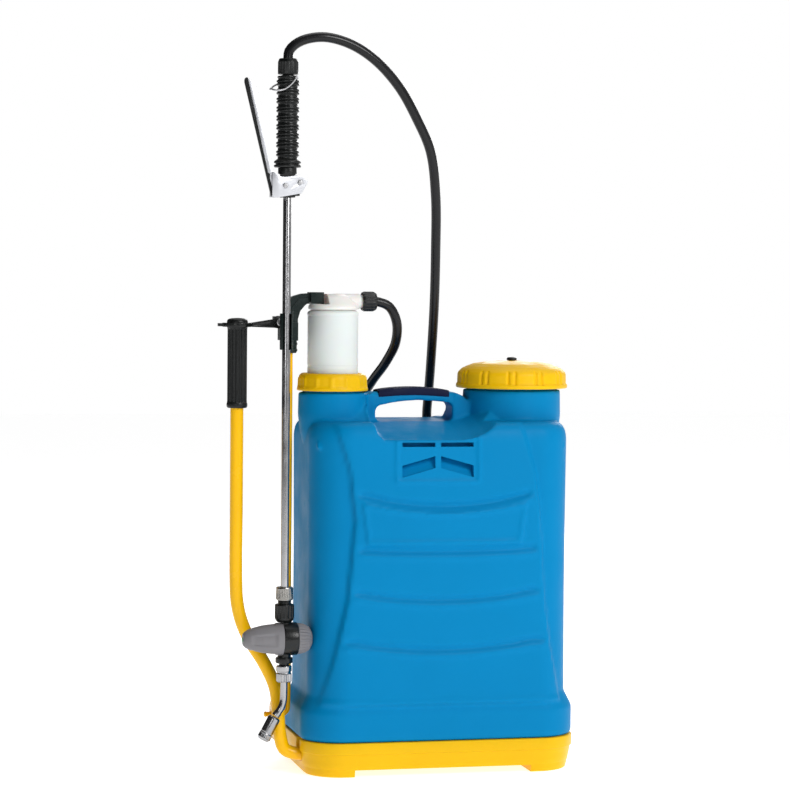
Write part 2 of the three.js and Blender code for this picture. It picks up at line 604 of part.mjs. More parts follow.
// ---------- straps ----------
function buildStraps() {
  const face = TANK.halfY + GAP;
  const { x, halfWidth, thick, anchorZ } = STRAP;
  const anchor = box(-92, 92, face, face + 5, anchorZ - 8, anchorZ + 14);
  const lugs = [-x, x].map((cx) => box(cx - 25, cx + 25, face + 4, face + 15, anchorZ, anchorZ + 10));
  const slots = [-x, x].map((cx) => box(cx - 21, cx + 21, face + 6, face + 11, anchorZ - 5, anchorZ + 20));
  add('strap_anchor', united([anchor, ...lugs]).subtract(united(slots)), 'black');
  const hang = face + 8.5;
  for (const [side, cx] of [['left', -x], ['right', x]]) {
    const upper = [
      [hang, 338], [hang, 352], [hang + 8, 360], [hang + 22, 352], [hang + 38, 320], [hang + 44, 270],
    ];
    const route = [...upper, [hang + 42, 225], [hang + 36, 196]];
    const strap = band(route, thick, cx - halfWidth, cx + halfWidth);
    const lug = box(cx - 23, cx + 23, hang - 2.2, hang + 2.2, 334, 338.6);
    add(`shoulder_strap_${side}`, strap.add(lug), 'fabric');
    const buckle = box(cx - 24, cx + 24, hang + 29, hang + 40, 158, 186);
    add(`buckle_${side}`, buckle, 'black');
    const web = [[hang + 33, 157.6], [hang + 24, 112], [hang + 10, 66], [hang + 1, 36]];
    add(`lower_web_${side}`, band(web, 2.4, cx - 15, cx + 15), 'fabric');
    const toe = box(cx - 19, cx + 19, 87, hang + 3, 15, 19);
    add(`strap_hook_${side}`, toe.add(box(cx - 19, cx + 19, hang - 1, hang + 3, 15, 35.4)), 'steel');
  }
}

buildTank();
buildHandlePad();
buildBase();
buildPumpFixed();
buildPumpMoving();
buildRodHead();
buildLinkRod();
buildLever();
buildLockArm();
buildFiller();
buildLance();
buildCatchWire();
buildHoses();
buildStraps();

for (const mesh of group.children) {
  mesh.geometry.translate(SHIFT.x, SHIFT.y, SHIFT.z);
}

export default group;
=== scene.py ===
"""Looks of a backpack lever sprayer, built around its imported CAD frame.

Shapes are written in millimetres in tank-centred coordinates, as the CAD is, and turned into metres
in the row frame when a mesh is made. +Z is up, the tank's front faces -Y, the pump and lever are on
the -X side and the filler is on the +X side. Profiles of turned shapes are [radius, height] pairs.
"""

import math
from types import SimpleNamespace as Dimensions

import bmesh
import bpy
import numpy as np
from mathutils import Matrix, Vector


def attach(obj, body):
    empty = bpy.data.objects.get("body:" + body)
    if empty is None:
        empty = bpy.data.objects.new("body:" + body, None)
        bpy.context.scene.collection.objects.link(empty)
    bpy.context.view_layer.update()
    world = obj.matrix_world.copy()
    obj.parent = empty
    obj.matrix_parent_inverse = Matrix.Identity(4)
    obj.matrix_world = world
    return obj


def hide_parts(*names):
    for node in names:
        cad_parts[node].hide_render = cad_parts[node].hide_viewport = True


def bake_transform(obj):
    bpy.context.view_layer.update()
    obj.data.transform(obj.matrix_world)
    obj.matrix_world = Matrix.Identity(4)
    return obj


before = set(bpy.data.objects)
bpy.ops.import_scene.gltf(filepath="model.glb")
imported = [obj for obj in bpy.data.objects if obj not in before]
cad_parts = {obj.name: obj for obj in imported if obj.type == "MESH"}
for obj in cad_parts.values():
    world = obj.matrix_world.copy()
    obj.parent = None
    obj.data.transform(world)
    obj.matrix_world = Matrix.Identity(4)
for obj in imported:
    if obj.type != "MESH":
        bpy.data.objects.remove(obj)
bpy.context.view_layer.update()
SHIFT = np.array([45.0, -23.75, 0.0])
MM = 0.001

# ---------- driving dimensions, as in the CAD ----------
TANK = Dimensions(half_x=163, half_y=92, corner=46, seat=43, sole=49, shoulder=404, roof=432, wall=3.2)
BAND = Dimensions(half_x=172, half_y=98, top=78, slope=96)
BASE = Dimensions(half_x=173, half_y=99, corner=50, rim=42.6, foot=9, floor_low=30, floor_top=35.5)
PUMP = Dimensions(x=-127, y=-15, neck_top=474, chamber_r=31.2, shoulder=566, head_top=587, outlet_z=578)
FILL = Dimensions(x=106, y=0, neck_top=481, cap_r=70, cap_low=471, cap_top=505)
HANDLE = Dimensions(x1=36, open_x0=-73, open_x1=25, low=430, high=456, top=467, half_y=15)
LEVER = Dimensions(x=-248, y=-26, shaft_x=-198, shaft_y=-45, shaft_z=24, tube_r=8, low=447, high=557)
CRANK = Dimensions(y=-14, z=68, rod_x=-180, rod_r=3, reach=-210, swing_deg=75, stroke=61)
LANCE = Dimensions(
    x=-194, y=-62, reg_z=167.5, grip_low=739, grip_high=849, hose_nut_top=870, pin_x=-180, pin_z=721
)
POCKETS = Dimensions(x=-12.6, near=3.5, far=44.5, slot=(402.7, 408), near_z=(377, 391.5), far_z=(365.5, 380))
SCREWS = [(-120, -66), (120, -66), (-120, 56), (120, 56)]
STRAP = Dimensions(x=62, half_width=20, anchor_z=340)
HOSE_R = 6
BACK_HOSE_Y = TANK.half_y + HOSE_R + 3
QUADRANTS = [(1, 1, 0), (-1, 1, 90), (-1, -1, 180), (1, -1, 270)]


# ---------- small geometry helpers ----------
def metres(points):
    """Tank-centred millimetres to metres in the row frame."""
    return (np.asarray(points, float) + SHIFT) * MM


def smoothstep(lo, hi, value):
    """0 up to lo, 1 from hi, and a smooth rise between."""
    t = np.clip((value - lo) / (hi - lo), 0.0, 1.0)
    return t * t * (3 - 2 * t)


def fillet(profile, radius, steps=3):
    """Rounds every inner corner of an open profile of 2-D points."""
    points = [np.array(p, float) for p in profile]
    out = [points[0]]
    for before, here, after in zip(points, points[1:], points[2:]):
        to_before, to_after = before - here, after - here
        reach_before = min(radius, 0.45 * np.linalg.norm(to_before))
        reach_after = min(radius, 0.45 * np.linalg.norm(to_after))
        start = here + to_before / np.linalg.norm(to_before) * reach_before
        end = here + to_after / np.linalg.norm(to_after) * reach_after
        for i in range(steps + 1):
            t = i / steps
            out.append((1 - t) ** 2 * start + 2 * t * (1 - t) * here + t * t * end)
    out.append(points[-1])
    return out


def lathe(profile, centre=(0, 0), axis="Z", segments=72, ribs=None, radius=0.8):
    """Turned closed shape: [radius, height] pairs about an axis, with an optional rib function."""
    profile = fillet(profile, radius) if radius else [np.array(p, float) for p in profile]
    closed = np.allclose(profile[0], profile[-1])
    rows = profile[:-1] if closed else profile
    verts, faces, rings = [], [], []
    for r, h in rows:
        if r < 1e-6:
            rings.append([len(verts)] * segments)
            verts.append((0.0, 0.0, h))
            continue
        ring = []
        for i in range(segments):
            angle = 2 * math.pi * i / segments
            rr = ribs(angle, r, h) if ribs else r
            ring.append(len(verts))
            verts.append((rr * math.cos(angle), rr * math.sin(angle), h))
        rings.append(ring)
    count = len(rings)
    for k in range(count if closed else count - 1):
        low, high = rings[k], rings[(k + 1) % count]
        for i in range(segments):
            j = (i + 1) % segments
            corners = list(dict.fromkeys([low[i], low[j], high[j], high[i]]))
            if len(corners) > 2:
                faces.append(corners)
    return turn(np.array(verts), axis, centre), faces


def turn(verts, axis, centre):
    """Lays a shape made along Z onto an axis. centre is the pair of other coordinates."""
    x, y, z = verts.T
    a, b = centre
    if axis == "X":
        return np.column_stack([z, a + y, b - x])
    if axis == "Y":
        return np.column_stack([a + x, z, b - y])
    return np.column_stack([a + x, b + y, z])


def rod(radius, low, high, centre, axis="Z", segments=40, rounding=0.0):
    """Plain round bar, for stubs and for the cutters of drilled holes."""
    profile = [[0, low], [radius, low], [radius, high], [0, high]]
    return lathe(profile, centre, axis, segments, radius=rounding)


def smooth_path(points, spacing=4.0):
    """Centripetal curve through the points, resampled about every spacing."""
    p = [np.array(q, float) for q in points]
    p = [2 * p[0] - p[1]] + p + [2 * p[-1] - p[-2]]
    out = []
    for p0, p1, p2, p3 in zip(p, p[1:], p[2:], p[3:]):
        t0 = 0.0
        t1 = t0 + max(np.linalg.norm(p1 - p0), 1e-6) ** 0.5
        t2 = t1 + max(np.linalg.norm(p2 - p1), 1e-6) ** 0.5
        t3 = t2 + max(np.linalg.norm(p3 - p2), 1e-6) ** 0.5
        steps = max(2, int(np.linalg.norm(p2 - p1) / spacing))
        for i in range(steps):
            t = t1 + (t2 - t1) * i / steps
            a1 = (t1 - t) / (t1 - t0) * p0 + (t - t0) / (t1 - t0) * p1
            a2 = (t2 - t) / (t2 - t1) * p1 + (t - t1) / (t2 - t1) * p2
            a3 = (t3 - t) / (t3 - t2) * p2 + (t - t2) / (t3 - t2) * p3
            b1 = (t2 - t) / (t2 - t0) * a1 + (t - t0) / (t2 - t0) * a2
            b2 = (t3 - t) / (t3 - t1) * a2 + (t - t1) / (t3 - t1) * a3
            out.append((t2 - t) / (t2 - t1) * b1 + (t - t1) / (t2 - t1) * b2)
    out.append(p[-2])
    return np.array(out)


def tube(path, radius, sides=20, swell=None, flat=1.0):
    """Closed tube along a path. swell(t) scales the radius, flat squeezes the section."""
    path = np.asarray(path, float)
    tangents = np.gradient(path, axis=0)
    tangents /= np.linalg.norm(tangents, axis=1)[:, None]
    normal = np.cross(tangents[0], [0.3, 1.0, 0.2])
    normal /= np.linalg.norm(normal)
    verts, faces = [], []
    for k, (point, tangent) in enumerate(zip(path, tangents)):
        normal = normal - tangent * normal.dot(tangent)
        normal /= np.linalg.norm(normal)
        side = np.cross(tangent, normal)
        r = radius * (swell(k / (len(path) - 1)) if swell else 1.0)
        for i in range(sides):
            angle = 2 * math.pi * i / sides
            verts.append(point + r * (math.cos(angle) * normal + flat * math.sin(angle) * side))
    for k in range(len(path) - 1):
        for i in range(sides):
            j = (i + 1) % sides
            faces.append([k * sides + i, k * sides + j, (k + 1) * sides + j, (k + 1) * sides + i])
    faces.append(list(range(sides))[::-1])
    faces.append([(len(path) - 1) * sides + i for i in range(sides)])
    return np.array(verts), faces


def prism(outline, lo, hi, axis="Y"):
    """Outline of (u, v) points pushed from lo to hi along an axis."""
    outline = [tuple(p) for p in outline]
    count = len(outline)
    place = {
        "Y": lambda u, v, w: (u, w, v),
        "X": lambda u, v, w: (w, u, v),
        "Z": lambda u, v, w: (u, v, w),
    }[axis]
    verts = [place(u, v, lo) for u, v in outline] + [place(u, v, hi) for u, v in outline]
    faces = [list(range(count)), list(range(count, 2 * count))[::-1]]
    for i in range(count):
        j = (i + 1) % count
        faces.append([i, i + count, j + count, j])
    return np.array(verts, float), faces


def block(x0, x1, y0, y1, z0, z1):
    return prism([(x0, y0), (x1, y0), (x1, y1), (x0, y1)], z0, z1, "Z")


def arc(cx, cy, r, start, end, steps=8):
    angles = np.radians(np.linspace(start, end, steps + 1))
    return [(cx + r * math.cos(a), cy + r * math.sin(a)) for a in angles]


def rounded_rectangle(half_x, half_y, corner, steps=6):
    out = []
    for sx, sy, start in QUADRANTS:
        out += arc(sx * (half_x - corner), sy * (half_y - corner), corner, start, start + 90, steps)
    return out


def merged(*parts):
    verts, faces, base = [], [], 0
    for part_verts, part_faces in parts:
        verts.append(part_verts)
        faces += [[i + base for i in face] for face in part_faces]
        base += len(part_verts)
    return np.vstack(verts), faces


def moved(part, matrix):
    verts, faces = part
    turned = [matrix @ Vector(v) for v in verts]
    return np.array([tuple(v) for v in turned]), faces


# ---------- Blender object helpers ----------
def new_object(name, part, material=None, sharp_deg=38, bevel=0.0):
    """Mesh object from (verts, faces) in millimetres, with its hard edges rounded if bevel is given."""
    verts, faces = part
    mesh = bpy.data.meshes.new(name)
    mesh.from_pydata([tuple(v) for v in metres(verts)], [], faces)
    graph = bmesh.new()
    graph.from_mesh(mesh)
    bmesh.ops.recalc_face_normals(graph, faces=graph.faces)
    if bevel:
        sharp = [e for e in graph.edges if e.is_manifold and e.calc_face_angle() > math.radians(30)]
        bmesh.ops.bevel(
            graph, geom=sharp, offset=bevel * MM, segments=2, affect="EDGES", clamp_overlap=True
        )
    graph.to_mesh(mesh)
    graph.free()
    shade(mesh, sharp_deg)
    obj = bpy.data.objects.new(name, mesh)
    bpy.context.scene.collection.objects.link(obj)
    if material:
        mesh.materials.append(material)
    return obj


def shade(mesh, sharp_deg=38):
    mesh.polygons.foreach_set("use_smooth", [True] * len(mesh.polygons))
    mesh.set_sharp_from_angle(angle=math.radians(sharp_deg))


def apply_modifiers(obj):
    depsgraph = bpy.context.evaluated_depsgraph_get()
    baked = bpy.data.meshes.new_from_object(obj.evaluated_get(depsgraph))
    obj.modifiers.clear()
    old = obj.data
    obj.data = baked
    bpy.data.meshes.remove(old)


def boolean(obj, others, operation="DIFFERENCE"):
    """Cuts the other objects out of this one, or joins them to it, and deletes them."""
    for other in others:
        modifier = obj.modifiers.new("cut", "BOOLEAN")
        modifier.operation = operation
        modifier.solver = "EXACT"
        modifier.object = other
    apply_modifiers(obj)
    for other in others:
        bpy.data.objects.remove(other)


def cut(obj, *parts):
    boolean(obj, [new_object("cutter", part) for part in parts])


def join(obj, *parts):
    boolean(obj, [new_object("joined", part) for part in parts], "UNION")


def piece(name, part, material, body, slot, replaces=(), **options):
    """One finished visible piece, riding on its body and standing for its CAD nodes."""
    obj = new_object(name, part, material, **options)
    return placed(obj, body, replaces)


def placed(obj, body, replaces=()):
    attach(obj, body)
    if replaces:
        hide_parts(*replaces)
    return obj


# ---------- materials ----------
class Surface:
    """A node material built up step by step around one Principled shader."""

    def __init__(self, name, colour, roughness, metallic=0.0):
        self.material = bpy.data.materials.new(name)
        self.material.use_nodes = True
        self.nodes = self.material.node_tree.nodes
        self.links = self.material.node_tree.links
        self.shader = self.nodes["Principled BSDF"]
        self.shader.inputs["Metallic"].default_value = metallic
        self.place = self.nodes.new("ShaderNodeTexCoord").outputs["Object"]
        self.colour = self.rgb(colour)
        self.roughness = self.value(roughness)
        self.height = None

    def rgb(self, colour):
        node = self.nodes.new("ShaderNodeRGB")
        node.outputs[0].default_value = (*colour, 1)
        return node.outputs[0]

    def value(self, number):
        node = self.nodes.new("ShaderNodeValue")
        node.outputs[0].default_value = number
        return node.outputs[0]

    def noise(self, scale, detail=3.0, stretch=(1, 1, 1), low=0.35, high=0.65):
        """Noise spread so that it is 0 up to low and 1 from high."""
        mapping = self.nodes.new("ShaderNodeMapping")
        mapping.inputs["Scale"].default_value = stretch
        self.links.new(self.place, mapping.inputs["Vector"])
        noise = self.nodes.new("ShaderNodeTexNoise")
        noise.inputs["Scale"].default_value = scale
        noise.inputs["Detail"].default_value = detail
        self.links.new(mapping.outputs[0], noise.inputs["Vector"])
        spread = self.nodes.new("ShaderNodeMapRange")
        spread.inputs["From Min"].default_value = low
        spread.inputs["From Max"].default_value = high
        self.links.new(noise.outputs["Fac"], spread.inputs["Value"])
        return spread.outputs[0]

    def math(self, operation, a, b):
        node = self.nodes.new("ShaderNodeMath")
        node.operation = operation
        for socket, source in zip(node.inputs, (a, b)):
            if isinstance(source, (int, float)):
                socket.default_value = source
            else:
                self.links.new(source, socket)
        return node.outputs[0]

    def tint(self, factor, colour, amount):
        """Mixes another colour in where factor is high."""
        mix = self.nodes.new("ShaderNodeMix")
        mix.data_type = "RGBA"
        self.links.new(self.math("MULTIPLY", factor, amount), mix.inputs["Factor"])
        self.links.new(self.colour, mix.inputs["A"])
        mix.inputs["B"].default_value = (*colour, 1)
        self.colour = mix.outputs["Result"]
        return self

    def roughen(self, factor, amount):
        self.roughness = self.math("ADD", self.roughness, self.math("MULTIPLY", factor, amount))
        return self

    def bump(self, factor, amount):
        """Adds to the surface height. The amount is in millimetres."""
        step = self.math("MULTIPLY", factor, amount)
        self.height = step if self.height is None else self.math("ADD", self.height, step)
        return self

    def dust(self, colour=(0.45, 0.42, 0.38), amount=0.03):
        """Pale dust that settles on what faces up."""
        geometry = self.nodes.new("ShaderNodeNewGeometry")
        split = self.nodes.new("ShaderNodeSeparateXYZ")
        self.links.new(geometry.outputs["Normal"], split.inputs[0])
        upward = self.math("MAXIMUM", split.outputs["Z"], 0.0)
        factor = self.math("MULTIPLY", upward, self.noise(60, 4))
        self.tint(factor, colour, amount)
        return self.roughen(factor, 0.15)

    def build(self, **extra):
        self.links.new(self.colour, self.shader.inputs["Base Color"])
        self.links.new(self.roughness, self.shader.inputs["Roughness"])
        if self.height is not None:
            bump = self.nodes.new("ShaderNodeBump")
            bump.inputs["Distance"].default_value = MM
            bump.inputs["Strength"].default_value = 1.0
            self.links.new(self.height, bump.inputs["Height"])
            self.links.new(bump.outputs[0], self.shader.inputs["Normal"])
        for name, number in extra.items():
            socket = name.replace("_", " ").title().replace("Ior", "IOR")
            self.shader.inputs[socket].default_value = number
        return self.material


def moulded_plastic(name, colour, roughness, grain=0.035, shade_down=0.72, **extra):
    """Plastic with orange-peel grain, faint flow marks, handling scratches and dust."""
    darker = tuple(c * shade_down for c in colour)
    surface = Surface(name, colour, roughness)
    surface.tint(surface.noise(9, 2), darker, 0.25)
    surface.tint(surface.noise(240, 2, low=0.5, high=0.8), darker, 0.12)
    surface.roughen(surface.noise(35, 4), 0.10)
    surface.bump(surface.noise(900, 2), grain)
    scratches = surface.noise(130, 2, stretch=(1, 1, 14), low=0.66, high=0.72)
    surface.bump(scratches, -grain * 0.8).roughen(scratches, 0.08)
    surface.dust()
    return surface.build(**{"specular_ior_level": 0.18, **extra})


def blown_plastic(name, colour, roughness):
    """Blow-moulded tank wall: soft waviness, fine grain, slightly waxy."""
    darker = tuple(c * 0.8 for c in colour)
    surface = Surface(name, colour, roughness)
    surface.tint(surface.noise(6, 2), darker, 0.22)
    surface.roughen(surface.noise(22, 4), 0.12)
    surface.bump(surface.noise(28, 2), 0.28).bump(surface.noise(700, 2), 0.03)
    scratches = surface.noise(90, 2, stretch=(12, 1, 1), low=0.68, high=0.74)
    surface.bump(scratches, -0.03).roughen(scratches, 0.1)
    surface.dust(amount=0.005)
    return surface.build(specular_ior_level=0.06)


def metal(name, colour, roughness, brushed=(1, 1, 1), streak=0.02):
    """Bare or plated metal with drawing streaks, smudges and small pits."""
    surface = Surface(name, colour, roughness, metallic=1.0)
    surface.tint(surface.noise(30, 3), tuple(c * 0.7 for c in colour), 0.3)
    surface.roughen(surface.noise(45, 4), 0.12)
    surface.bump(surface.noise(420, 3, stretch=brushed), streak)
    surface.bump(surface.noise(1500, 2, low=0.7, high=0.76), -0.02)
    return surface.build()


def enamel(name, colour, roughness):
    """Gloss paint on steel tube, with rubs and a few chips down to dark metal."""
    surface = Surface(name, colour, roughness)
    surface.tint(surface.noise(14, 3), tuple(c * 0.8 for c in colour), 0.25)
    chips = surface.noise(170, 5, low=0.715, high=0.73)
    surface.tint(chips, (0.12, 0.09, 0.06), 0.85).bump(chips, -0.09).roughen(chips, 0.35)
    surface.roughen(surface.noise(60, 3), 0.08)
    surface.bump(surface.noise(300, 2), 0.02)
    return surface.build(specular_ior_level=0.2, coat_weight=0.12, coat_roughness=0.1)


def rubbery(name, colour, roughness, grain=0.05):
    """Soft dark rubber with bloom, fine grain and a little dust."""
    surface = Surface(name, colour, roughness)
    surface.tint(surface.noise(18, 3), tuple(min(1, c * 1.8 + 0.004) for c in colour), 0.35)
    surface.roughen(surface.noise(50, 4), 0.12)
    surface.bump(surface.noise(1100, 3), grain)
    surface.dust(amount=0.02)
    return surface.build(specular_ior_level=0.28, sheen_weight=0.03)


def webbing(name, colour):
    """Woven strap: crossed yarn waves under a little fuzz."""
    surface = Surface(name, colour, 0.85)
    yarns = []
    for direction in ("X", "Z"):
        wave = surface.nodes.new("ShaderNodeTexWave")
        wave.wave_type = "BANDS"
        wave.bands_direction = direction
        wave.inputs["Scale"].default_value = 210
        wave.inputs["Distortion"].default_value = 0.4
        surface.links.new(surface.place, wave.inputs["Vector"])
        yarns.append(wave.outputs["Fac"])
    weave = surface.math("MULTIPLY", *yarns)
    surface.tint(weave, tuple(min(1, c * 3 + 0.02) for c in colour), 0.6)
    surface.bump(weave, 0.3).bump(surface.noise(1400, 3), 0.05)
    surface.tint(surface.noise(25, 3), tuple(c * 0.5 for c in colour), 0.4)
    return surface.build(sheen_weight=0.4)


BLUE = blown_plastic("tank_blue_plastic", (0.0, 0.215, 0.48), 0.38)
YELLOW = moulded_plastic("yellow_moulding", (0.86, 0.50, 0.0), 0.30, subsurface_weight=0.04)
NAVY = moulded_plastic("navy_pad_plastic", (0.002, 0.006, 0.035), 0.45, grain=0.04, specular_ior_level=0.1)
MILK = moulded_plastic(
    "milky_chamber_plastic", (0.82, 0.79, 0.76), 0.3, grain=0.015, shade_down=0.94, subsurface_weight=0.2
)
BLACK = moulded_plastic("black_moulding", (0.004, 0.005, 0.005), 0.20, grain=0.03, specular_ior_level=0.4)
GREEN_BLACK = moulded_plastic(
    "dark_bracket_moulding", (0.004, 0.012, 0.011), 0.24, grain=0.03, specular_ior_level=0.3
)
GREY = moulded_plastic("grey_moulding", (0.21, 0.205, 0.215), 0.40, grain=0.045)
GREEN = moulded_plastic("green_dot_plastic", (0.03, 0.30, 0.07), 0.4)
ENAMEL = enamel("yellow_lever_enamel", (0.96, 0.52, 0.0), 0.2)
STAINLESS = metal("drawn_stainless", (0.40, 0.40, 0.41), 0.14, brushed=(1, 1, 0.04))
PRESSED = metal("pressed_steel", (0.50, 0.50, 0.51), 0.26, brushed=(0.1, 1, 1))
PLATE = metal("bright_plate", (0.60, 0.61, 0.64), 0.40, brushed=(0.1, 1, 1))
CHROME = metal("plated_brass", (0.40, 0.40, 0.41), 0.10)
KNURLED = metal("knurled_nickel", (0.36, 0.35, 0.33), 0.2)
RUBBER = rubbery("black_rubber", (0.008, 0.008, 0.009), 0.5)
HOSE = rubbery("black_hose", (0.003, 0.003, 0.004), 0.16, grain=0.01)
GRIP = rubbery("black_grip", (0.005, 0.006, 0.006), 0.28, grain=0.04)
WEB = webbing("black_webbing", (0.018, 0.018, 0.021))


# ---------- more shape helpers ----------
def loft(rings):
    """Closed solid through rings of equal point counts."""
    count = len(rings[0])
    verts = np.vstack([np.asarray(ring, float) for ring in rings])
    last = (len(rings) - 1) * count
    faces = [list(range(count)), [last + i for i in range(count)][::-1]]
    for k in range(len(rings) - 1):
        for i in range(count):
            j = (i + 1) % count
            faces.append([k * count + i, (k + 1) * count + i, (k + 1) * count + j, k * count + j])
    return verts, faces


def box_loft(levels, steps=8):
    """Solid through rounded rectangles given as (z, half_x, half_y, corner)."""
    return loft([[(x, y, z) for x, y in rounded_rectangle(hx, hy, c, steps)] for z, hx, hy, c in levels])


def fused(name, parts, cuts=()):
    """One watertight object from overlapping parts, less the cuts."""
    obj = new_object(name, parts[0])
    if len(parts) > 1:
        join(obj, *parts[1:])
    if cuts:
        cut(obj, *cuts)
    return obj


def paint(obj, material, sharp_deg=40):
    shade(obj.data, sharp_deg)
    obj.data.materials.clear()
    obj.data.materials.append(material)


def worn_edge(obj, width):
    """Modifier with a small rounding on hard edges."""
    edge = obj.modifiers.new("edge", "BEVEL")
    edge.width = width * MM
    edge.segments = 2
    edge.limit_method = "ANGLE"
    return edge


def finish_edges(obj, material, bevel=0.6, sharp_deg=40):
    """Small worn rounding on every hard edge, then shading and the material."""
    if bevel:
        worn_edge(obj, bevel).angle_limit = math.radians(32)
        apply_modifiers(obj)
    paint(obj, material, sharp_deg)


def fused_piece(name, parts, cuts, material, body, replaces=(), bevel=0.6):
    """One finished visible piece made of overlapping parts, less the cuts."""
    obj = fused(name, parts, cuts)
    finish_edges(obj, material, bevel)
    return placed(obj, body, replaces)


def rib_wave(count, depth, low, high, power=1.0, beyond=5.0):
    """Rib function: count upright ribs between two heights, on what lies beyond a radius."""
    def shape(angle, r, h):
        if not low <= h <= high or r < beyond:
            return r
        wave = 0.5 + 0.5 * math.cos(count * angle)
        return r + depth * wave ** power
    return shape


def ribbon(route, cx, half_width, thickness):
    """Strap along (y, z) points. thickness(t) is its full thickness from start to end."""
    path = smooth_path([(0, y, z) for y, z in route], 3.0)
    tangents = np.gradient(path, axis=0)
    tangents /= np.linalg.norm(tangents, axis=1)[:, None]
    rings = []
    for k, (point, tangent) in enumerate(zip(path, tangents)):
        normal = np.array([0, -tangent[2], tangent[1]])
        thick = thickness(k / (len(path) - 1))
        section = rounded_rectangle(half_width, thick / 2, thick * 0.45, 4)
        rings.append([(cx + u, *(point + v * normal)[1:]) for u, v in section])
    return loft(rings)


def dress(material, *nodes):
    """Material on CAD nodes that are seen as they are."""
    for node in nodes:
        obj = bpy.data.objects[node]
        paint(obj, material)
        worn_edge(obj, 0.3)


# ---------- camera ----------
# Millimetres and degrees; the focal length and the heading's offset are in pixels of the frame.
CAMERA = Dimensions(turn=13.6, distance=3300, height=595, pitch=2.43, aside=34.5, focal_px=2640, roll=0.5)
FRAME_WIDTH = 790
SENSOR = 36


def make_camera():
    """Camera at the photograph's viewing angle."""
    a = math.radians(CAMERA.turn)
    data = bpy.data.cameras.new("photo_camera")
    data.sensor_width = SENSOR
    data.sensor_fit = "HORIZONTAL"
    data.lens = CAMERA.focal_px / FRAME_WIDTH * SENSOR
    data.clip_end = 50
    obj = bpy.data.objects.new("photo_camera", data)
    bpy.context.scene.collection.objects.link(obj)
    place = (-CAMERA.distance * math.sin(a), -CAMERA.distance * math.cos(a), CAMERA.height)
    heading = a - math.atan(CAMERA.aside / CAMERA.focal_px)
    look = Matrix.Rotation(-heading, 4, "Z") @ Matrix.Rotation(math.radians(90 - CAMERA.pitch), 4, "X")
    roll = Matrix.Rotation(math.radians(CAMERA.roll), 4, "Z")
    obj.matrix_world = Matrix.Translation(Vector(metres([place])[0])) @ look @ roll
    bpy.context.scene.camera = obj


# ---------- hoses ----------
PUMP_HOSE = [
    (-80, -15, 578), (-72, -15, 578), (-56, -14, 572), (-45, -8, 553), (-43, 4, 528), (-50, 28, 502),
    (-61, 60, 476), (-69, BACK_HOSE_Y - 12, 450), (-72, BACK_HOSE_Y, 424), (-70, BACK_HOSE_Y, 400),
    (-58, BACK_HOSE_Y, 381), (-38, BACK_HOSE_Y, 371), (-14, BACK_HOSE_Y, 371), (8, BACK_HOSE_Y, 386),
    (20, BACK_HOSE_Y, 406), (21, BACK_HOSE_Y, 424),
]
SPRAY_HOSE = [
    (21, BACK_HOSE_Y, 425), (21, BACK_HOSE_Y, 436), (21, BACK_HOSE_Y - 8, 460), (20, 80, 490), (17, 50, 570),
    (12, 24, 640), (5, -2, 710), (-7, -22, 764), (-27, -34, 802), (-52, -44, 840), (-84, -54, 871),
    (-116, -59, 889.5), (-148, -62, 897), (-172, -62, 894), (-186, -62, 887), (-193, -62, 879),
    (LANCE.x, LANCE.y, 872), (LANCE.x, LANCE.y, 864.5),
]


def make_hoses():
    """One 12 mm hose from the pump to the lance, in the two lengths that the rear clip parts."""
    runs = [
        ("pump_hose", PUMP_HOSE, "hose_pump_loop", "pump_chamber", (-60, -14, 572), (-66, 78, 456)),
        ("spray_hose", SPRAY_HOSE, "hose_main", "lance", (-170, -62, 894), (5, -2, 710)),
    ]
    for name, route, node, mover, start, end in runs:
        path = smooth_path(route)
        obj = new_object(name, tube(path, HOSE_R, 24), HOSE)
        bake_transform(obj)
        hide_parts(node)


# ---------- tank ----------
def outline_at(half_x, half_y, corner):
    """Rounded rectangle points, about evenly spaced, the same number at every size."""
    bends = [
        arc(sx * (half_x - corner), sy * (half_y - corner), corner, start, start + 90, 20)
        for sx, sy, start in QUADRANTS
    ]
    points = []
    for bend, following, steps in zip(bends, bends[1:] + bends[:1], (96, 40, 96, 40)):
        last, first = np.array(bend[-1]), np.array(following[0])
        points += bend + [tuple(last + (first - last) * i / steps) for i in range(1, steps)]
    return np.array(points)


def tank_size_at(z):
    """Half width, half depth and corner of the tank at a height: flared foot, slight waist, round roof."""
    flare = 1 - float(np.clip((z - BAND.top) / (BAND.slope - BAND.top), 0, 1))
    tuck = 3 * (1 - math.sqrt(1 - ((TANK.sole - z) / 6.5) ** 2)) if z < TANK.sole else 0.0
    rise = np.clip((z - BAND.slope) / (TANK.shoulder - BAND.slope), 0, 1)
    waist = 0.8 * math.sin(math.pi * rise)
    roof = np.clip((z - TANK.shoulder) / (TANK.roof - TANK.shoulder), 0, 1)
    inset = 22 * (1 - (1 - (0.99 * roof) ** 3) ** (1 / 3))
    half_x = TANK.half_x + (BAND.half_x - TANK.half_x) * flare - tuck - waist - inset
    half_y = TANK.half_y + (BAND.half_y - TANK.half_y) * flare - tuck - inset
    return half_x, half_y, TANK.corner + 3 * flare - 0.5 * inset


def smile(x, middle, sag, reach=110.0):
    """Height of a shallow curve that is lowest in the middle of the front."""
    return middle + sag * np.clip(np.abs(x + 3) / reach, 0, 1) ** 2


def groove(distance, width):
    return np.exp(-((distance / width) ** 2))


def within(value, low, high, edge):
    """1 between low and high, falling smoothly to 0 over the edge."""
    return smoothstep(low - edge, low, value) * (1 - smoothstep(high, high + edge, value))


def crease(z, points):
    """X of a long curved crease at a height, from (height, x) points."""
    heights, places = zip(*points)
    return np.interp(z, heights, places)


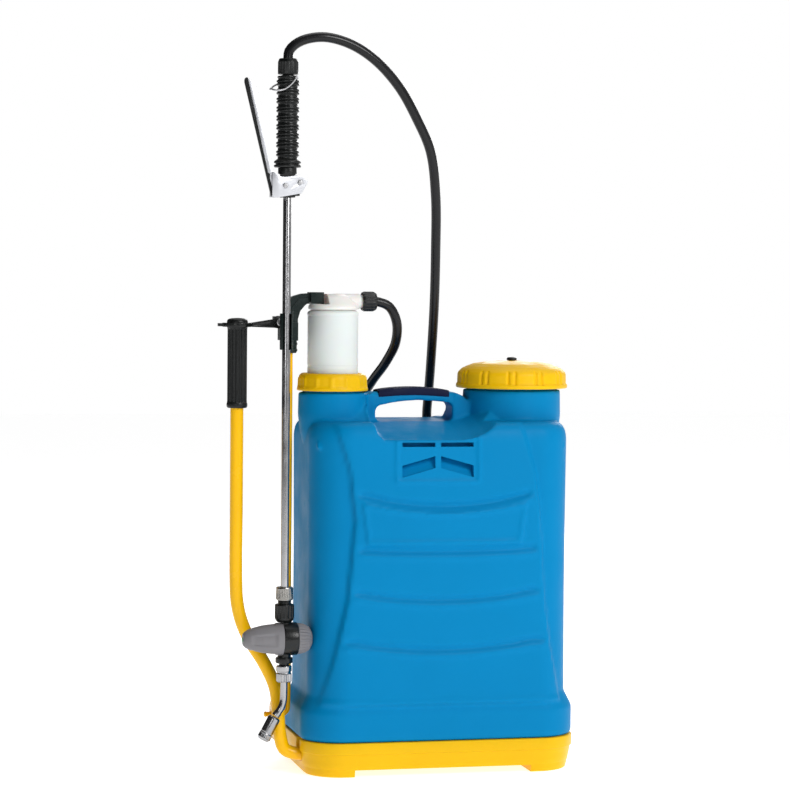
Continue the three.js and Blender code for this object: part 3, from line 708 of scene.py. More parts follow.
LEFT_CREASE = [(80, -155), (142, -137), (215, -121), (313, -112), (374, -119), (430, -136)]
RIGHT_CREASE = [(80, 148), (113, 141), (155, 132), (215, 123), (312, 117), (372, 109), (430, 92)]
FRONT_GROOVES = [(331, 16, 3.8), (276, 3, 3.2), (217, 10, 3.2), (156, 10, 3.2)]


def front_relief(x, z):
    """How far the front stands out, in millimetres, at each point."""
    left, right = crease(z, LEFT_CREASE), crease(z, RIGHT_CREASE)
    # the belly between the two long creases, fuller in its middle
    fade = 1 - smoothstep(330, 425, z) * 0.4
    relief = 7.5 * fade * within(x, left, right, 4) * within(z, 92, 440, 8)
    swell = np.clip(1 - ((x - (left + right) / 2) / ((right - left) / 2)) ** 2, 0, 1)
    relief += 3.0 * swell * within(z, 100, 430, 30)
    # the sagging grooves, each with a small lip under it
    across = within(x, left + 12, right - 12, 10)
    for middle, sag, depth in FRONT_GROOVES:
        relief -= depth * across * groove(z - smile(x, middle, sag), 3.4)
        relief += 0.5 * depth * across * groove(z - smile(x, middle - 8, sag), 3.4)
    # the plain plate with its raised border
    slant = (326 - z) * 0.14
    top = smile(x, 322, 13)
    relief += 3.0 * within(x, -104 + slant, 98 - slant, 2) * within(z, 284, top, 2)
    relief -= 1.3 * within(x, -99 + slant, 93 - slant, 1.5) * within(z, 289, top - 5, 1.5)
    return relief + pocket_frame(x, z)


def pocket_frame(x, z):
    """Faint raised frame around the belt slots and the pockets."""
    off = np.abs(x - POCKETS.x)
    outer = within(off, -1, 52, 1.5) * within(z, 359, 415, 1.5)
    inner = within(off, -1, 49, 1.5) * within(z, 362, 412, 1.5)
    return 2.0 * (outer - inner)


def back_relief(x, z):
    """Flat rest panel between two shallow upright channels."""
    return -3.0 * groove(np.abs(x) - 118, 6) * within(z, 120, 390, 10)


def tank_body():
    """Tank wall from seat to roof, with the relief of its front and back."""
    heights = np.concatenate([
        np.linspace(TANK.seat, TANK.sole, 4), np.arange(51, TANK.shoulder, 2.6),
        TANK.shoulder + (TANK.roof - TANK.shoulder) * np.sin(np.linspace(0, math.pi / 2, 14)),
    ])
    rings = []
    for z in heights:
        half_x, half_y, corner = tank_size_at(z)
        ring = outline_at(half_x, half_y, corner)
        level = np.full(len(ring), z)
        for side, stands_out in ((-1, front_relief), (1, back_relief)):
            facing = smoothstep(half_y - corner * 0.75, half_y - 1, side * ring[:, 1])
            ring[:, 1] += side * stands_out(ring[:, 0], level) * facing
        rings.append(np.column_stack([ring, level]))
    verts, faces = loft(rings)
    count, base = len(rings[0]), len(verts)
    verts = np.vstack([verts, [[0, 0, heights[0]], [0, 0, heights[-1]]]])
    faces = faces[2:]
    for i in range(count):
        j = (i + 1) % count
        faces += [[base, j, i], [base + 1, base - count + i, base - count + j]]
    return verts, faces


def ridge():
    """Hipped crest between the necks that carries the hand opening."""
    h = HANDLE
    crest = [
        (-157, 424), (-146, 434), (-127, 443), (-92, 452), (-85, 462), (-76, h.top - 1),
        (h.x1 - 8, h.top - 1), (h.x1 + 1, 462), (48, 454), (105, 445), (122, 440), (156, 424),
    ]
    rows = []
    for x, z in crest:
        on_handle = h.open_x0 - 4 <= x <= h.open_x1 + 4
        half = 17 if on_handle else 40
        foot = 86 - 12 * smoothstep(110, 165, abs(x + 5))
        low = min(z - 4, 431 + 0.5 * max(0.0, z - 440)) if on_handle else z - 4
        side = [(foot, 400), (foot - 3, 407), (half + 3, low), (half, z - 2.5), (half - 5, z)]
        rows.append([(x, -u, v) for u, v in side] + [(x, u, v) for u, v in side[::-1]])
    return loft(rows)


def hand_opening_outline():
    """Rounded opening under the pad, with a slightly arched upper edge."""
    left, right, low, high = HANDLE.open_x0, HANDLE.open_x1, HANDLE.low, HANDLE.high
    outline = arc(left + 6, low + 6, 6, 180, 270) + arc(right - 5, low + 5, 5, 270, 360)
    outline += arc(right - 7, high - 9.5, 7, 0, 75)
    outline += [(left + 70, high - 0.8), (left + 55, high), (left + 38, high - 1), (left + 22, high - 3)]
    return outline + arc(left + 8, high - 14, 8, 110, 180)


def scoop():
    """Hollow in front of the hand opening: round at the pump side, running out at the filler side."""
    floor = [(-130, 411.5), (-92, 411.5), (-60, 420), (-19, 430)]
    open_top = [(-19, 500), (-130, 500)]
    stations = [(-89, 16), (-87, 8), (-84, 3), (-79, 0), (20, 0), (34, 2.5), (48, 8), (62, 17), (76, 30)]
    return loft([
        [(x, y, z + lift) for y, z in floor] + [(x, y, z) for y, z in open_top] for x, lift in stations
    ])


def front_pockets():
    """Cutters for the two belt slots and the two sloping pockets under them."""
    wall = -TANK.half_y
    front = wall - 12
    near_low, near_high = POCKETS.near_z
    far_low, far_high = POCKETS.far_z
    cutters = []
    for side in (-1, 1):
        near, far = POCKETS.x + side * POCKETS.near, POCKETS.x + side * POCKETS.far
        cutters.append(block(*sorted((near, far)), front, wall + 6, *POCKETS.slot))
        # each pocket is deepest along its upper edge and runs out below its lower one
        corners = [(near, near_high, 5), (far, far_high, 5), (far, far_low, -6.5), (near, near_low, -6.5)]
        corners = corners[::side]
        face = [(x, front, z) for x, z, _ in corners]
        floor = [(x, wall + depth, z) for x, z, depth in corners]
        cutters.append(loft([face, floor]))
    return cutters


def tank_hollow():
    """Space inside the tank's wall."""
    rings = []
    for z in (TANK.sole, 80, 100, 380, 398, 402):
        half_x, half_y, corner = tank_size_at(z)
        inner_x, inner_y = half_x - TANK.wall - 3, half_y - TANK.wall - 4
        ring = rounded_rectangle(inner_x, inner_y, max(10, corner - TANK.wall), 8)
        rings.append([(x, y, z) for x, y in ring])
    return loft(rings)


def soften(obj):
    """Runs the tank's joins together as blow moulding does."""
    remesh = obj.modifiers.new("blow_mould", "REMESH")
    remesh.mode = "VOXEL"
    remesh.voxel_size = 2.1 * MM
    smooth = obj.modifiers.new("soften", "SMOOTH")
    smooth.factor = 0.5
    smooth.iterations = 2
    apply_modifiers(obj)


def make_tank():
    """Body, crest and necks run into one wall, which is then rimmed, cut and hollowed."""
    pump, fill = (PUMP.x, PUMP.y), (FILL.x, FILL.y)
    obj = new_object("tank_wall", tank_body())
    join(obj, ridge())
    cut(obj, prism(hand_opening_outline(), -150, 150, "Y"), scoop())
    pump_neck = [[0, 372], [26, 372], [34, 395], [40, 418], [42.5, 438], [42, 466], [0, 466]]
    fill_neck = [[0, 385], [46, 385], [54, 402], [60, 424], [61.5, 436], [61, 469], [0, 469]]
    join(obj, lathe(pump_neck, pump, radius=2), lathe(fill_neck, fill, radius=2))
    soften(obj)
    pump_rim = rod(37, 440, PUMP.neck_top, pump, "Z", 72, 0.8)
    fill_rim = rod(56, 450, FILL.neck_top, fill, "Z", 72, 0.8)
    join(obj, pump_rim, fill_rim)
    cut(obj, *front_pockets())
    cut(obj, tank_hollow(), rod(33.6, 325, 490, pump, "Z", 72), rod(50, 380, 490, fill, "Z", 72))
    finish_edges(obj, BLUE, 0, 50)
    placed(obj, "tank", ["tank_shell"])


# ---------- base ----------
def make_base():
    """Yellow tray with two runners, the lever's bearing and notch, and its four screws."""
    foot, rim, floor_low, floor_top = BASE.foot, BASE.rim, BASE.floor_low, BASE.floor_top
    outer = base_loft([
        (foot, 6, 5), (foot + 1.4, 4.8, 4), (foot + 6, 3.8, 3), (20, 2.6, 1), (28, 1.6, 1), (29, 0, 0),
        (rim - 0.8, 0, 0), (rim, 0.8, 0),
    ])
    sole = base_loft([(0, 8.6, 7), (1.2, 7, 6), (foot, 5.4, 5), (foot + 2, 4.9, 4)])
    seat = base_loft([(floor_top, 12.5, 12), (rim + 5, 12.5, 12)], 8)
    under = box_loft([(-5, 93, 78, 6), (foot + 3, 92.5, 77.5, 6), (floor_low, 92, 77, 6)])
    y, z = LEVER.shaft_y, LEVER.shaft_z
    bearing = rod(9.4, -230, -88, (y, z), "X")
    mouth = prism(arc(y, z, 9.6, 180, 360, 12) + [(y + 9.6, 60), (y - 9.6, 60)], -230, -164, "X")
    between_runners = block(-111, 111, -120, 120, -5, foot)
    cuts = [seat, under, bearing, mouth, between_runners]
    for spot in SCREWS:
        sunk = [[0, -5], [6.4, -5], [6.4, floor_low], [3, floor_low], [3, 60], [0, 60]]
        cuts.append(lathe(sunk, spot, "Z", 32, radius=0))
    cuts += [block(x - 21, x + 21, 85, 120, 13, 24) for x in (-STRAP.x, STRAP.x)]
    cuts += [block(x - 0.9, x + 0.9, -66, 66, -2, 1.2) for x in (-156, -104, 104, 156)]
    fused_piece("base", [outer, sole], cuts, YELLOW, "tank", ["base_skid"], 0.7)
    for number, spot in enumerate(SCREWS, 1):
        make_screw(number, *spot)


def base_loft(levels, steps=12):
    """Solid of the base's outline, from (height, inset, corner inset)."""
    half_x, half_y, corner = BASE.half_x, BASE.half_y, BASE.corner
    return box_loft([(z, half_x - a, half_y - a, corner - b) for z, a, b in levels], steps)


def make_screw(number, x, y):
    """Cross-head screw that holds base and tank together."""
    shape = [[0, 26], [5.2, 26], [6, 27], [6, 29.6], [2.5, 29.6], [2.5, 41.5], [0, 41.5]]
    head = lathe(shape, (x, y), "Z", 32, radius=0.4)
    cross = [block(x - u, x + u, y - v, y + v, 24, 27.4) for u, v in ((3.4, 0.6), (0.6, 3.4))]
    nodes = [f"base_screw_{number}"]
    fused_piece(f"screw_{number}", [head], cross, PRESSED, "tank", nodes, 0)


# ---------- handle pad ----------
def make_handle_pad():
    """Arched carrying pad that wraps over the crest above the hand opening."""
    left, right, half_y = HANDLE.open_x0 + 4, HANDLE.open_x1 - 4, HANDLE.half_y
    crest, inner = HANDLE.top, half_y + 0.35
    rings = []
    for x in np.linspace(left, right, 61):
        along = (x - left) / (right - left)
        arch = math.sin(math.pi * along)
        top = crest + 1.0 + 4.2 * arch ** 0.7
        low = HANDLE.high + 3.6 + 2.6 * arch
        over = [(half_y + 3, low), (half_y + 3.2, crest - 3), (half_y + 1.5, top - 1.6), (half_y - 2.5, top)]
        under = [(inner, low), (inner, crest + 0.4)]
        rings.append(
            [(x, -y, z) for y, z in over] + [(x, y, z) for y, z in over[::-1]]
            + [(x, y, z) for y, z in under] + [(x, -y, z) for y, z in under[::-1]]
        )
    pad = loft(rings)
    piece("carry_pad", pad, NAVY, "tank", "navy_plastic", ["handle_pad"], sharp_deg=50, bevel=0.5)


# ---------- pump ----------
def make_pump():
    make_collar(PUMP.x, PUMP.y, PUMP.neck_top)
    make_chamber(PUMP.x, PUMP.y)
    make_rod_head()
    make_link_rod()


def make_collar(x, y, top):
    """Ring nut that holds the pump in its neck, with grip bars around its skirt."""
    profile = [
        [33, top + 6.4], [41, top + 6.4], [41, top + 3], [39, top + 1], [39, top - 6], [43.9, top - 6],
        [44, top - 3], [42.6, top], [42.2, top + 9], [41, top + 13], [38, top + 15.5], [33, top + 15.5],
        [33, top + 6.4],
    ]
    bars = rib_wave(14, 1.3, top - 1, top + 10, 6, beyond=41.3)
    nut = lathe(profile, (x, y), "Z", 168, bars, 1.0)
    piece("collar", nut, YELLOW, "tank", "yellow_plastic", ["collar_nut"])


def make_chamber(x, y):
    """Milky chamber wall with a groove, its domed top with the outlet spigot, and the outlet nut."""
    r, shoulder, head_top = PUMP.chamber_r, PUMP.shoulder, PUMP.head_top
    outlet = (y, PUMP.outlet_z)
    shell = [
        [17, 402], [r, 402], [r, 496], [r - 0.35, 497], [r - 0.35, 499], [r, 500], [r, shoulder - 6],
        [r + 0.5, shoulder - 5], [r + 0.5, shoulder - 2], [r - 1.5, shoulder], [r - 4, shoulder + 1],
        [r - 4, shoulder - 2.6], [r - 3, shoulder - 3.6], [r - 3, 406], [17, 406], [17, 402],
    ]
    wall = lathe(shell, (x, y), "Z", 96, radius=0.5)
    piece("chamber_wall", wall, MILK, "pump_chamber", "milky_plastic", ["pressure_chamber"])
    dome = lathe([
        [0, shoulder - 8], [r - 4.6, shoulder - 8], [r - 4.6, shoulder + 1.6], [r - 0.6, shoulder + 1.6],
        [r - 0.6, shoulder + 6], [r - 3, shoulder + 9], [r - 8, shoulder + 14], [19, head_top - 3],
        [12, head_top], [0, head_top],
    ], (x, y), "Z", 72, radius=1.5)
    barb = [[0, x], [9.4, x], [9.4, x + 33], [8, x + 34.5], [8, x + 46], [0, x + 46]]
    spigot = lathe(barb, outlet, "X", 40, radius=0.8)
    gusset = [(x + 4, 572), (x + 33, 572), (x + 33, 576), (x + 10, head_top - 1), (x + 4, head_top - 1)]
    web = prism(gusset, y - 2, y + 2, "Y")
    room = block(x - 40, x - 9.6, y - 40, y + 40, shoulder + 8.1, head_top + 9)
    parts = [dome, spigot, web]
    fused_piece("chamber_top", parts, [room], MILK, "pump_chamber", ["chamber_head"], 0.7)
    nut = [
        [8.6, x + 36], [11.2, x + 36], [11.4, x + 39], [11.4, x + 50], [10.6, x + 54], [7.3, x + 54],
        [7.3, x + 46.6], [8.6, x + 46.6], [8.6, x + 36],
    ]
    ring = lathe(nut, outlet, "X", 144, rib_wave(18, 0.9, x + 38, x + 51, beyond=10.8), 0.6)
    piece("outlet_ring", ring, BLACK, "pump_chamber", "black_plastic", ["outlet_nut"])


def make_rod_head():
    """Dark bracket on the chamber's top: arm to the link rod, rod socket and open lance clip."""
    x, y, shoulder, head_top = PUMP.x, PUMP.y, PUMP.shoulder, PUMP.head_top
    rod_x, rod_y = CRANK.rod_x, CRANK.y
    hinge = (rod_x, rod_y)
    outline = [(x - 26, 575), (x - 26, 588), (x - 40, 587)] + arc(rod_x + 8, 572, 13, 110, 170, 6)
    outline += [
        (rod_x - 8, 558), (rod_x - 8, 534), (rod_x + 8, 534), (rod_x + 8, 556), (rod_x + 11, 566),
        (rod_x + 17, 573), (x - 30, 577),
    ]
    flange = [
        (x - 30, 582), (x - 44, 581), (rod_x - 2, 566), (rod_x - 2, 562), (x - 42, 576), (x - 30, 577),
    ]
    parts = [
        block(x - 30, x - 14, y - 13, y + 13, shoulder + 8.5, head_top + 2),
        prism(outline, rod_y - 7, rod_y + 7, "Y"),
        block(x - 30, x - 20, rod_y - 7, y, shoulder + 8.5, head_top + 1),
        prism(flange, rod_y - 8.2, rod_y + 8.2, "Y"),
        lathe([[0, 514], [7.4, 514], [8, 516], [8, 566], [0, 566]], hinge, "Z", 40),
        rod(8.7, 516, 519, hinge, rounding=0.4),
        rod(8.7, 524, 527, hinge, rounding=0.4),
        block(rod_x - 22, rod_x, rod_y - 7, rod_y + 4, 545, 559),
        block(rod_x - 14, rod_x + 7, rod_y - 6, rod_y + 6, 519, 560),
    ]
    socket = rod(CRANK.rod_r + 0.4, 500, 552, hinge, segments=24)
    bracket = fused("rod_bracket", parts, [socket])
    boolean(bracket, [lance_clip(rod_x, rod_y)], "UNION")
    finish_edges(bracket, GREEN_BLACK, 0.9)
    placed(bracket, "pump_chamber", ["rod_head"])


def lance_clip(rod_x, rod_y):
    """Tall spring clip, open to the front, that holds the lance tube."""
    x, y = LANCE.x, LANCE.y
    back = block(x - 2, rod_x + 2, y + 7, rod_y, 530, 552)
    shell = rod(8, 519, 563, (x, y), segments=48, rounding=0.8)
    gap = block(x - 5.3, x + 5.3, y - 20, y, 500, 580)
    return fused("lance_clip", [back, shell], [rod(5.4, 500, 580, (x, y)), gap])


def make_link_rod():
    """Painted rod from the head down to the crank, bent outward into the lever's slot."""
    x, y, z, reach = CRANK.rod_x, CRANK.y, CRANK.z, CRANK.reach
    path = smooth_path([
        (x, y, 550), (x, y, 300), (x, y, z + 12), (x - 0.6, y, z + 5), (x - 4, y, z + 0.8), (x - 10, y, z),
        (reach + 2, y, z),
    ], 5)
    head = [[0, reach], [2, reach], [3.4, reach + 1.2], [3.4, reach + 3], [0, reach + 3]]
    parts = [tube(path, CRANK.rod_r, 16), lathe(head, (y, z), "X", 20, radius=0.3)]
    fused_piece("pump_rod", parts, [], ENAMEL, "pump_chamber", ["link_rod"], 0)


# ---------- lever ----------
def crank_track(steps=16):
    """Crank pin seen from the lever through the stroke, as (y, z)."""
    out = []
    for i in range(steps + 1):
        swing = math.radians(CRANK.swing_deg * i / steps)
        dy = CRANK.y - LEVER.shaft_y
        dz = CRANK.z - CRANK.stroke * i / steps - LEVER.shaft_z
        out.append((
            LEVER.shaft_y + dy * math.cos(swing) - dz * math.sin(swing),
            LEVER.shaft_z + dy * math.sin(swing) + dz * math.cos(swing),
        ))
    return out


def make_lever():
    """Bent lever tube with its slotted ear, and the fluted hand grip."""
    x, y, sx = LEVER.x, LEVER.y, LEVER.shaft_x
    shaft_y, shaft_z, low, high = LEVER.shaft_y, LEVER.shaft_z, LEVER.low, LEVER.high
    path = smooth_path([
        (-96, shaft_y, shaft_z), (-130, shaft_y, shaft_z), (-176, shaft_y, shaft_z),
        (-190, shaft_y, shaft_z + 6), (-195.5, shaft_y, shaft_z + 24), (sx, shaft_y, 76),
        (-201, shaft_y + 4, 105), (-214, y - 8, 135), (-230, y - 1, 161), (-241, y, 186),
        (-246.5, y, 210), (x, y, 240), (x, y, 330), (x, y, high - 6),
    ], 5)
    ear_outline = [(shaft_y - 2, 40), (shaft_y + 24, 39)] + arc(shaft_y + 34, 50, 10, -60, 0, 5)
    ear_outline += arc(shaft_y + 32, 72, 12, 0, 80, 6) + [(shaft_y + 22, 84), (shaft_y - 2, 79)]
    parts = [tube(path, LEVER.tube_r, 28), prism(ear_outline, sx - 3, sx + 2, "X")]
    slots = [rod(4.8, -230, -170, spot, "X", 32) for spot in crank_track()]
    fused_piece("lever_bar", parts, slots, ENAMEL, "pump_lever", ["lever_tube"], 0)
    profile = [
        [8.4, low], [11.6, low], [12.8, low + 2], [12.8, low + 5], [12, low + 8], [12, high - 14],
        [12.9, high - 10], [12.9, high - 4], [11.6, high - 1.6], [7, high - 0.4], [0, high],
        [0, high - 4], [8.4, high - 4], [8.4, low],
    ]
    flutes = rib_wave(16, -1.1, low + 7, high - 13, beyond=11.5)
    grip = lathe(profile, (x, y), "Z", 128, flutes, 1.2)
    piece("lever_handgrip", grip, GRIP, "pump_lever", "rubber", ["lever_grip"])
    make_lock_arm()


def make_lock_arm():
    """Grooved latch arm that hooks round the lever's grip, and its pivot pin."""
    rod_x, z = CRANK.rod_x, 552
    pivot = (rod_x - 16, z)
    front = CRANK.y - 7.4
    outline = [(rod_x - 22, z - 7), (-232, z - 6), (-232, z - 1), (rod_x - 24, z + 3.5)]
    outline += arc(rod_x - 17, z, 7.8, 120, -90, 12)
    channel = [(rod_x - 28, z - 4.4), (-228, z - 4.6), (-228, z - 2.6), (rod_x - 28, z + 0.4)]
    x, y = LEVER.x, LEVER.y
    hook = [[15, z - 6], [18.4, z - 6], [18.4, z - 1], [15, z - 1], [15, z - 6]]
    parts = [
        prism(outline, front - 7, front, "Y"),
        lathe(hook, (x, y), "Z", 64, radius=0.4),
        block(x - 24, x - 16, y - 6, y + 3, z - 5.4, z - 1.6),
    ]
    cuts = [
        prism(channel, front - 8, front - 5.6, "Y"),
        block(x - 20, x + 20, y + 4, y + 30, z - 20, z + 20),
        rod(2.8, -60, 0, pivot, "Y", 32),
    ]
    fused_piece("latch_arm", parts, cuts, BLACK, "lock_arm", ["lock_arm"], 0.5)
    shape = [
        [0, front - 10.4], [3.6, front - 10.4], [4.4, front - 9.6], [4.4, front - 7.4],
        [2.4, front - 7.4], [2.4, front + 0.2], [0, front + 0.2],
    ]
    pin = lathe(shape, pivot, "Y", 32, radius=0.3)
    piece("latch_pin", pin, PRESSED, "pump_chamber", "stainless", ["lock_pin"])


# ---------- filler ----------
def make_filler():
    """Screw cap with grip notches, its vent knob, and the strainer under it."""
    x, y, top, low = FILL.x, FILL.y, FILL.cap_top, FILL.cap_low
    neck_top, r = FILL.neck_top, FILL.cap_r
    profile = [
        [0, neck_top + 5.8], [57.6, neck_top + 5.8], [57.6, low + 2], [62.5, low + 2], [62.5, low],
        [r - 0.6, low], [r, low + 1.5], [r, low + 4.5], [r - 1.6, low + 6.5], [r - 1.8, low + 17],
        [r - 3, low + 20], [r - 6, low + 23], [r - 9, low + 25.4], [r - 10.4, low + 25.2],
        [r - 12, low + 26.6], [48, low + 30.4], [34, low + 32.6], [20, low + 33.6], [8, low + 34],
        [8, low + 33.4], [0, low + 33.4],
    ]

    def skirt(angle, radius, h):
        if not low + 5 < h < low + 21 or radius < r - 4:
            return radius
        sector = (angle / (2 * math.pi) * 12) % 1.0
        notch = min(abs(sector - 0.38), abs(sector - 0.62)) / 0.04
        return radius - 2.0 * math.exp(-notch * notch)

    vent_bore = rod(4.4, 470, 520, (x, y), "Z", 24)
    cap = fused("cap", [lathe(profile, (x, y), "Z", 360, skirt, 1.0)], [vent_bore])
    finish_edges(cap, YELLOW, 0)
    placed(cap, "filler_cap", ["filler_cap"])
    vent = [
        [0, neck_top + 4], [4, neck_top + 4], [4, top + 0.4], [6, top + 0.4], [6.2, top + 1.4],
        [5.8, top + 3.4], [3.6, top + 4.4], [0, top + 4.6],
    ]
    knob = lathe(vent, (x, y), "Z", 48, rib_wave(12, 0.35, top + 1, top + 3.6), 0.4)
    piece("vent_knob", knob, BLACK, "filler_cap", "black_plastic", ["vent_valve"])
    make_strainer(x, y, neck_top)


def make_strainer(x, y, top):
    """Drop-in basket with a lip, a ribbed wall and a drilled floor."""
    basket = [
        [0, top - 70], [46.6, top - 70], [48.4, top - 66], [48.6, top + 0.4], [55, top + 0.4],
        [55, top + 3], [46.8, top + 3], [46.8, top - 64], [0, top - 64],
    ]
    ribs = rib_wave(36, -0.9, top - 66, top - 3, 2, beyond=48)
    obj = new_object("strainer", lathe(basket, (x, y), "Z", 216, ribs, 0.5))
    holes = []
    for reach, count in ((10, 6), (20, 12), (30, 18), (39, 24)):
        for i in range(count):
            a = 2 * math.pi * i / count
            spot = (x + reach * math.cos(a), y + reach * math.sin(a))
            holes.append(rod(1.5, top - 80, top - 60, spot, "Z", 10))
    cut(obj, merged(*holes))
    finish_edges(obj, BLACK, 0)
    placed(obj, "strainer", ["strainer_basket"])


# ---------- lance ----------
def make_lance():
    """Hose nut, hand grip and valve, trigger, tube, nuts, regulator and nozzle, from the top down."""
    spot = LANCE.x, LANCE.y
    low, high, nut_top = LANCE.grip_low, LANCE.grip_high, LANCE.hose_nut_top
    nut = [
        [7.4, high + 2], [12.4, high + 2], [12.4, nut_top - 4], [10.6, nut_top], [7.4, nut_top],
        [7.4, high + 2],
    ]
    knurl = rib_wave(20, -1.0, high + 3.5, nut_top - 4.5, beyond=11.8)
    hose_ring = lathe(nut, spot, "Z", 160, knurl, 0.6)
    piece("hose_ring", hose_ring, BLACK, "lance", "black_plastic", ["hose_nut"])
    make_grip(*spot, low, high)
    make_valve(*spot, low, high, nut_top)
    make_trigger()
    shaft = [[0, 221], [5, 221], [5, 232], [5, 234], [5, 718], [0, 718]]
    piece("wand", lathe(shaft, spot, "Z", 48, radius=0.4), STAINLESS, "lance", "stainless", ["lance_tube"])
    sleeve = [[5.5, 215], [9.8, 215], [10.4, 216.5], [10.4, 229.5], [9.8, 231], [5.5, 231], [5.5, 215]]
    wand_nut = lathe(sleeve, spot, "Z", 180, rib_wave(30, -0.8, 216.8, 229, beyond=10), 0.3)
    piece("wand_nut", wand_nut, KNURLED, "lance", "chrome_brass", ["lance_nut"])
    inlet = [
        [0, 188], [8.6, 188], [11, 191], [11.8, 193], [11.8, 209], [11, 210], [8, 210.6], [8, 214.6],
        [0, 214.6],
    ]
    inlet_ring = lathe(inlet, spot, "Z", 128, rib_wave(16, -1.1, 193.5, 208.5, beyond=11.2), 0.5)
    piece("inlet_ring", inlet_ring, BLACK, "lance", "black_plastic", ["regulator_nut"])
    make_regulator(*spot, LANCE.reg_z)
    make_nozzle(*spot)


def make_grip(x, y, low, high):
    """Turned hand grip with paired rings all the way up and a double flange at its foot."""
    profile = [
        [8.4, low], [15.6, low], [16.4, low + 1], [16.4, low + 3], [14.2, low + 3.8], [14.2, low + 4.6],
        [16.4, low + 5.4], [16.4, low + 7.4], [15, low + 8.4], [12, low + 10.6],
    ]
    z = low + 13
    while z < high - 5:
        profile += [
            [12, z], [13.9, z + 1.1], [13.9, z + 3.0], [12.5, z + 3.7], [12.5, z + 4.1],
            [13.9, z + 4.8], [13.9, z + 6.7], [12, z + 7.8],
        ]
        z += 10.6
    profile += [[12, high - 3], [13, high - 2], [12.4, high], [8.4, high], [8.4, low]]
    grip = lathe(profile, (x, y), "Z", 80, radius=0.5)
    piece("hand_grip", grip, BLACK, "lance", "black_plastic", ["handle_grip"])


def make_valve(x, y, low, high, nut_top):
    """Valve body under the grip, with a stem through the grip to the hose nut."""
    stem = [
        [0, low - 8], [10.6, low - 8], [11.4, low - 7], [11.4, low - 0.5], [8, low - 0.5], [8, high + 1],
        [6, high + 1], [6, nut_top - 8], [0, nut_top - 8],
    ]
    parts = [
        lathe(stem, (x, y), "Z", 48, radius=0.3),
        block(x - 8, x + 14, y - 7, y + 7, 705, 727),
        block(x - 8, x + 8.5, y - 7, y + 7, 703, low - 2),
    ]
    cuts = [
        rod(5.4, 690, 720, (x, y)),
        block(x - 12, x - 4, y - 3.6, y + 3.6, 698, low - 8),
        rod(2.4, -90, -30, (LANCE.pin_x, LANCE.pin_z), "Y", 32),
    ]
    fused_piece("valve", parts, cuts, BLACK, "lance", ["valve_body"], 0.6)


def make_trigger():
    """Pressed trigger with cheeks round the valve, its edge web in black as painted shade, pin and rivet,
    and the wire catch.
    """
    y, pin = LANCE.y, (LANCE.pin_x, LANCE.pin_z)
    side = [
        (-245, 843), (-242, 844), (-239, 842), (-233, 833), (-215.5, 750), (-214.5, 738), (-210, 731.5),
        (-206.5, 716), (-206.5, 703), (-212, 703),
    ]
    cheek = [
        (-214, 733.5), (-210, 733.5), (-207.4, 730.4), (-204, 728), (-198, 727.4), (-190, 728.6),
        (-182, 730.2), *arc(-178.4, 722.6, 7.6, 75, -35, 8), (-178, 708), (-205, 703), (-214, 703),
    ]
    parts = [
        block(-214, -210.5, y - 9, y + 9, 704, 728),
        prism(side, y - 7, y - 5.6, "Y"), prism(side, y + 5.6, y + 7, "Y"),
        prism(cheek, y - 9.6, y - 7.4, "Y"), prism(cheek, y + 7.4, y + 9.6, "Y"),
    ]
    bore = rod(2.4, -90, -30, pin, "Y", 32)
    fused_piece("squeeze_lever", parts, [bore], PLATE, "trigger", ["trigger_lever"], 0.35)
    # black web along the trigger's front edge: painted shade standing for the shaded inside of the channel
    edge = [
        (-248, 843), (-247, 845.5), (-244.4, 846), (-242.6, 840), (-219, 733), (-216.2, 731), (-216.4, 726),
        (-213.4, 715), (-210.6, 712), (-211.6, 708), (-210.4, 703), (-213.6, 702.6), (-215.4, 706),
        (-248, 840),
    ]
    piece("squeeze_edge", prism(edge, y - 7.4, y - 2.4, "Y"), BLACK, "trigger", "black_plastic", bevel=0.5)
    shape = [
        [0, y - 11.4], [2.4, y - 11.4], [3.1, y - 10.8], [3.1, y - 9.9], [2, y - 9.9], [2, y + 9.9],
        [3.1, y + 9.9], [3.1, y + 11], [0, y + 11.4],
    ]
    cheek_pin = lathe(shape, pin, "Y", 32, radius=0.3)
    piece("cheek_pin", cheek_pin, PRESSED, "lance", "stainless", ["trigger_pin"])
    head = [[0, y - 11.2], [2.6, y - 11.2], [3.2, y - 10.4], [3.2, y - 9.7], [0, y - 9.7]]
    piece("cheek_rivet", lathe(head, (-198, 717), "Y", 32, radius=0.3), PRESSED, "trigger", "stainless")
    make_catch()


def make_catch():
    """Bent wire stirrup hung across the top of the grip."""
    x, y, top = LANCE.x, LANCE.y, LANCE.grip_high - 1
    path = smooth_path([
        (x + 8, y - 14.6, top - 1), (x + 3, y - 14.6, top - 7.5), (x - 2, y - 14.6, top - 12.5),
        (x - 9, y - 14.6, top - 16.6), (x - 17, y - 14.4, top - 17.4), (x - 19.8, y - 12, top - 16.6),
        (x - 19.8, y, top - 15), (x - 19.4, y + 12, top - 14), (x - 15, y + 14.6, top - 10.5),
        (x - 4, y + 14.6, top - 5), (x + 8, y + 14.6, top - 1),
    ], 2.0)
    eyes = [rod(2, y + s - 1.6, y + s + 1.6, (x + 8, top - 1), "Y", 24, 0.5) for s in (-14.6, 14.6)]
    parts = [tube(path, 1.1, 14), *eyes]
    fused_piece("stirrup", parts, [], PRESSED, "catch", ["catch_wire"], 0)


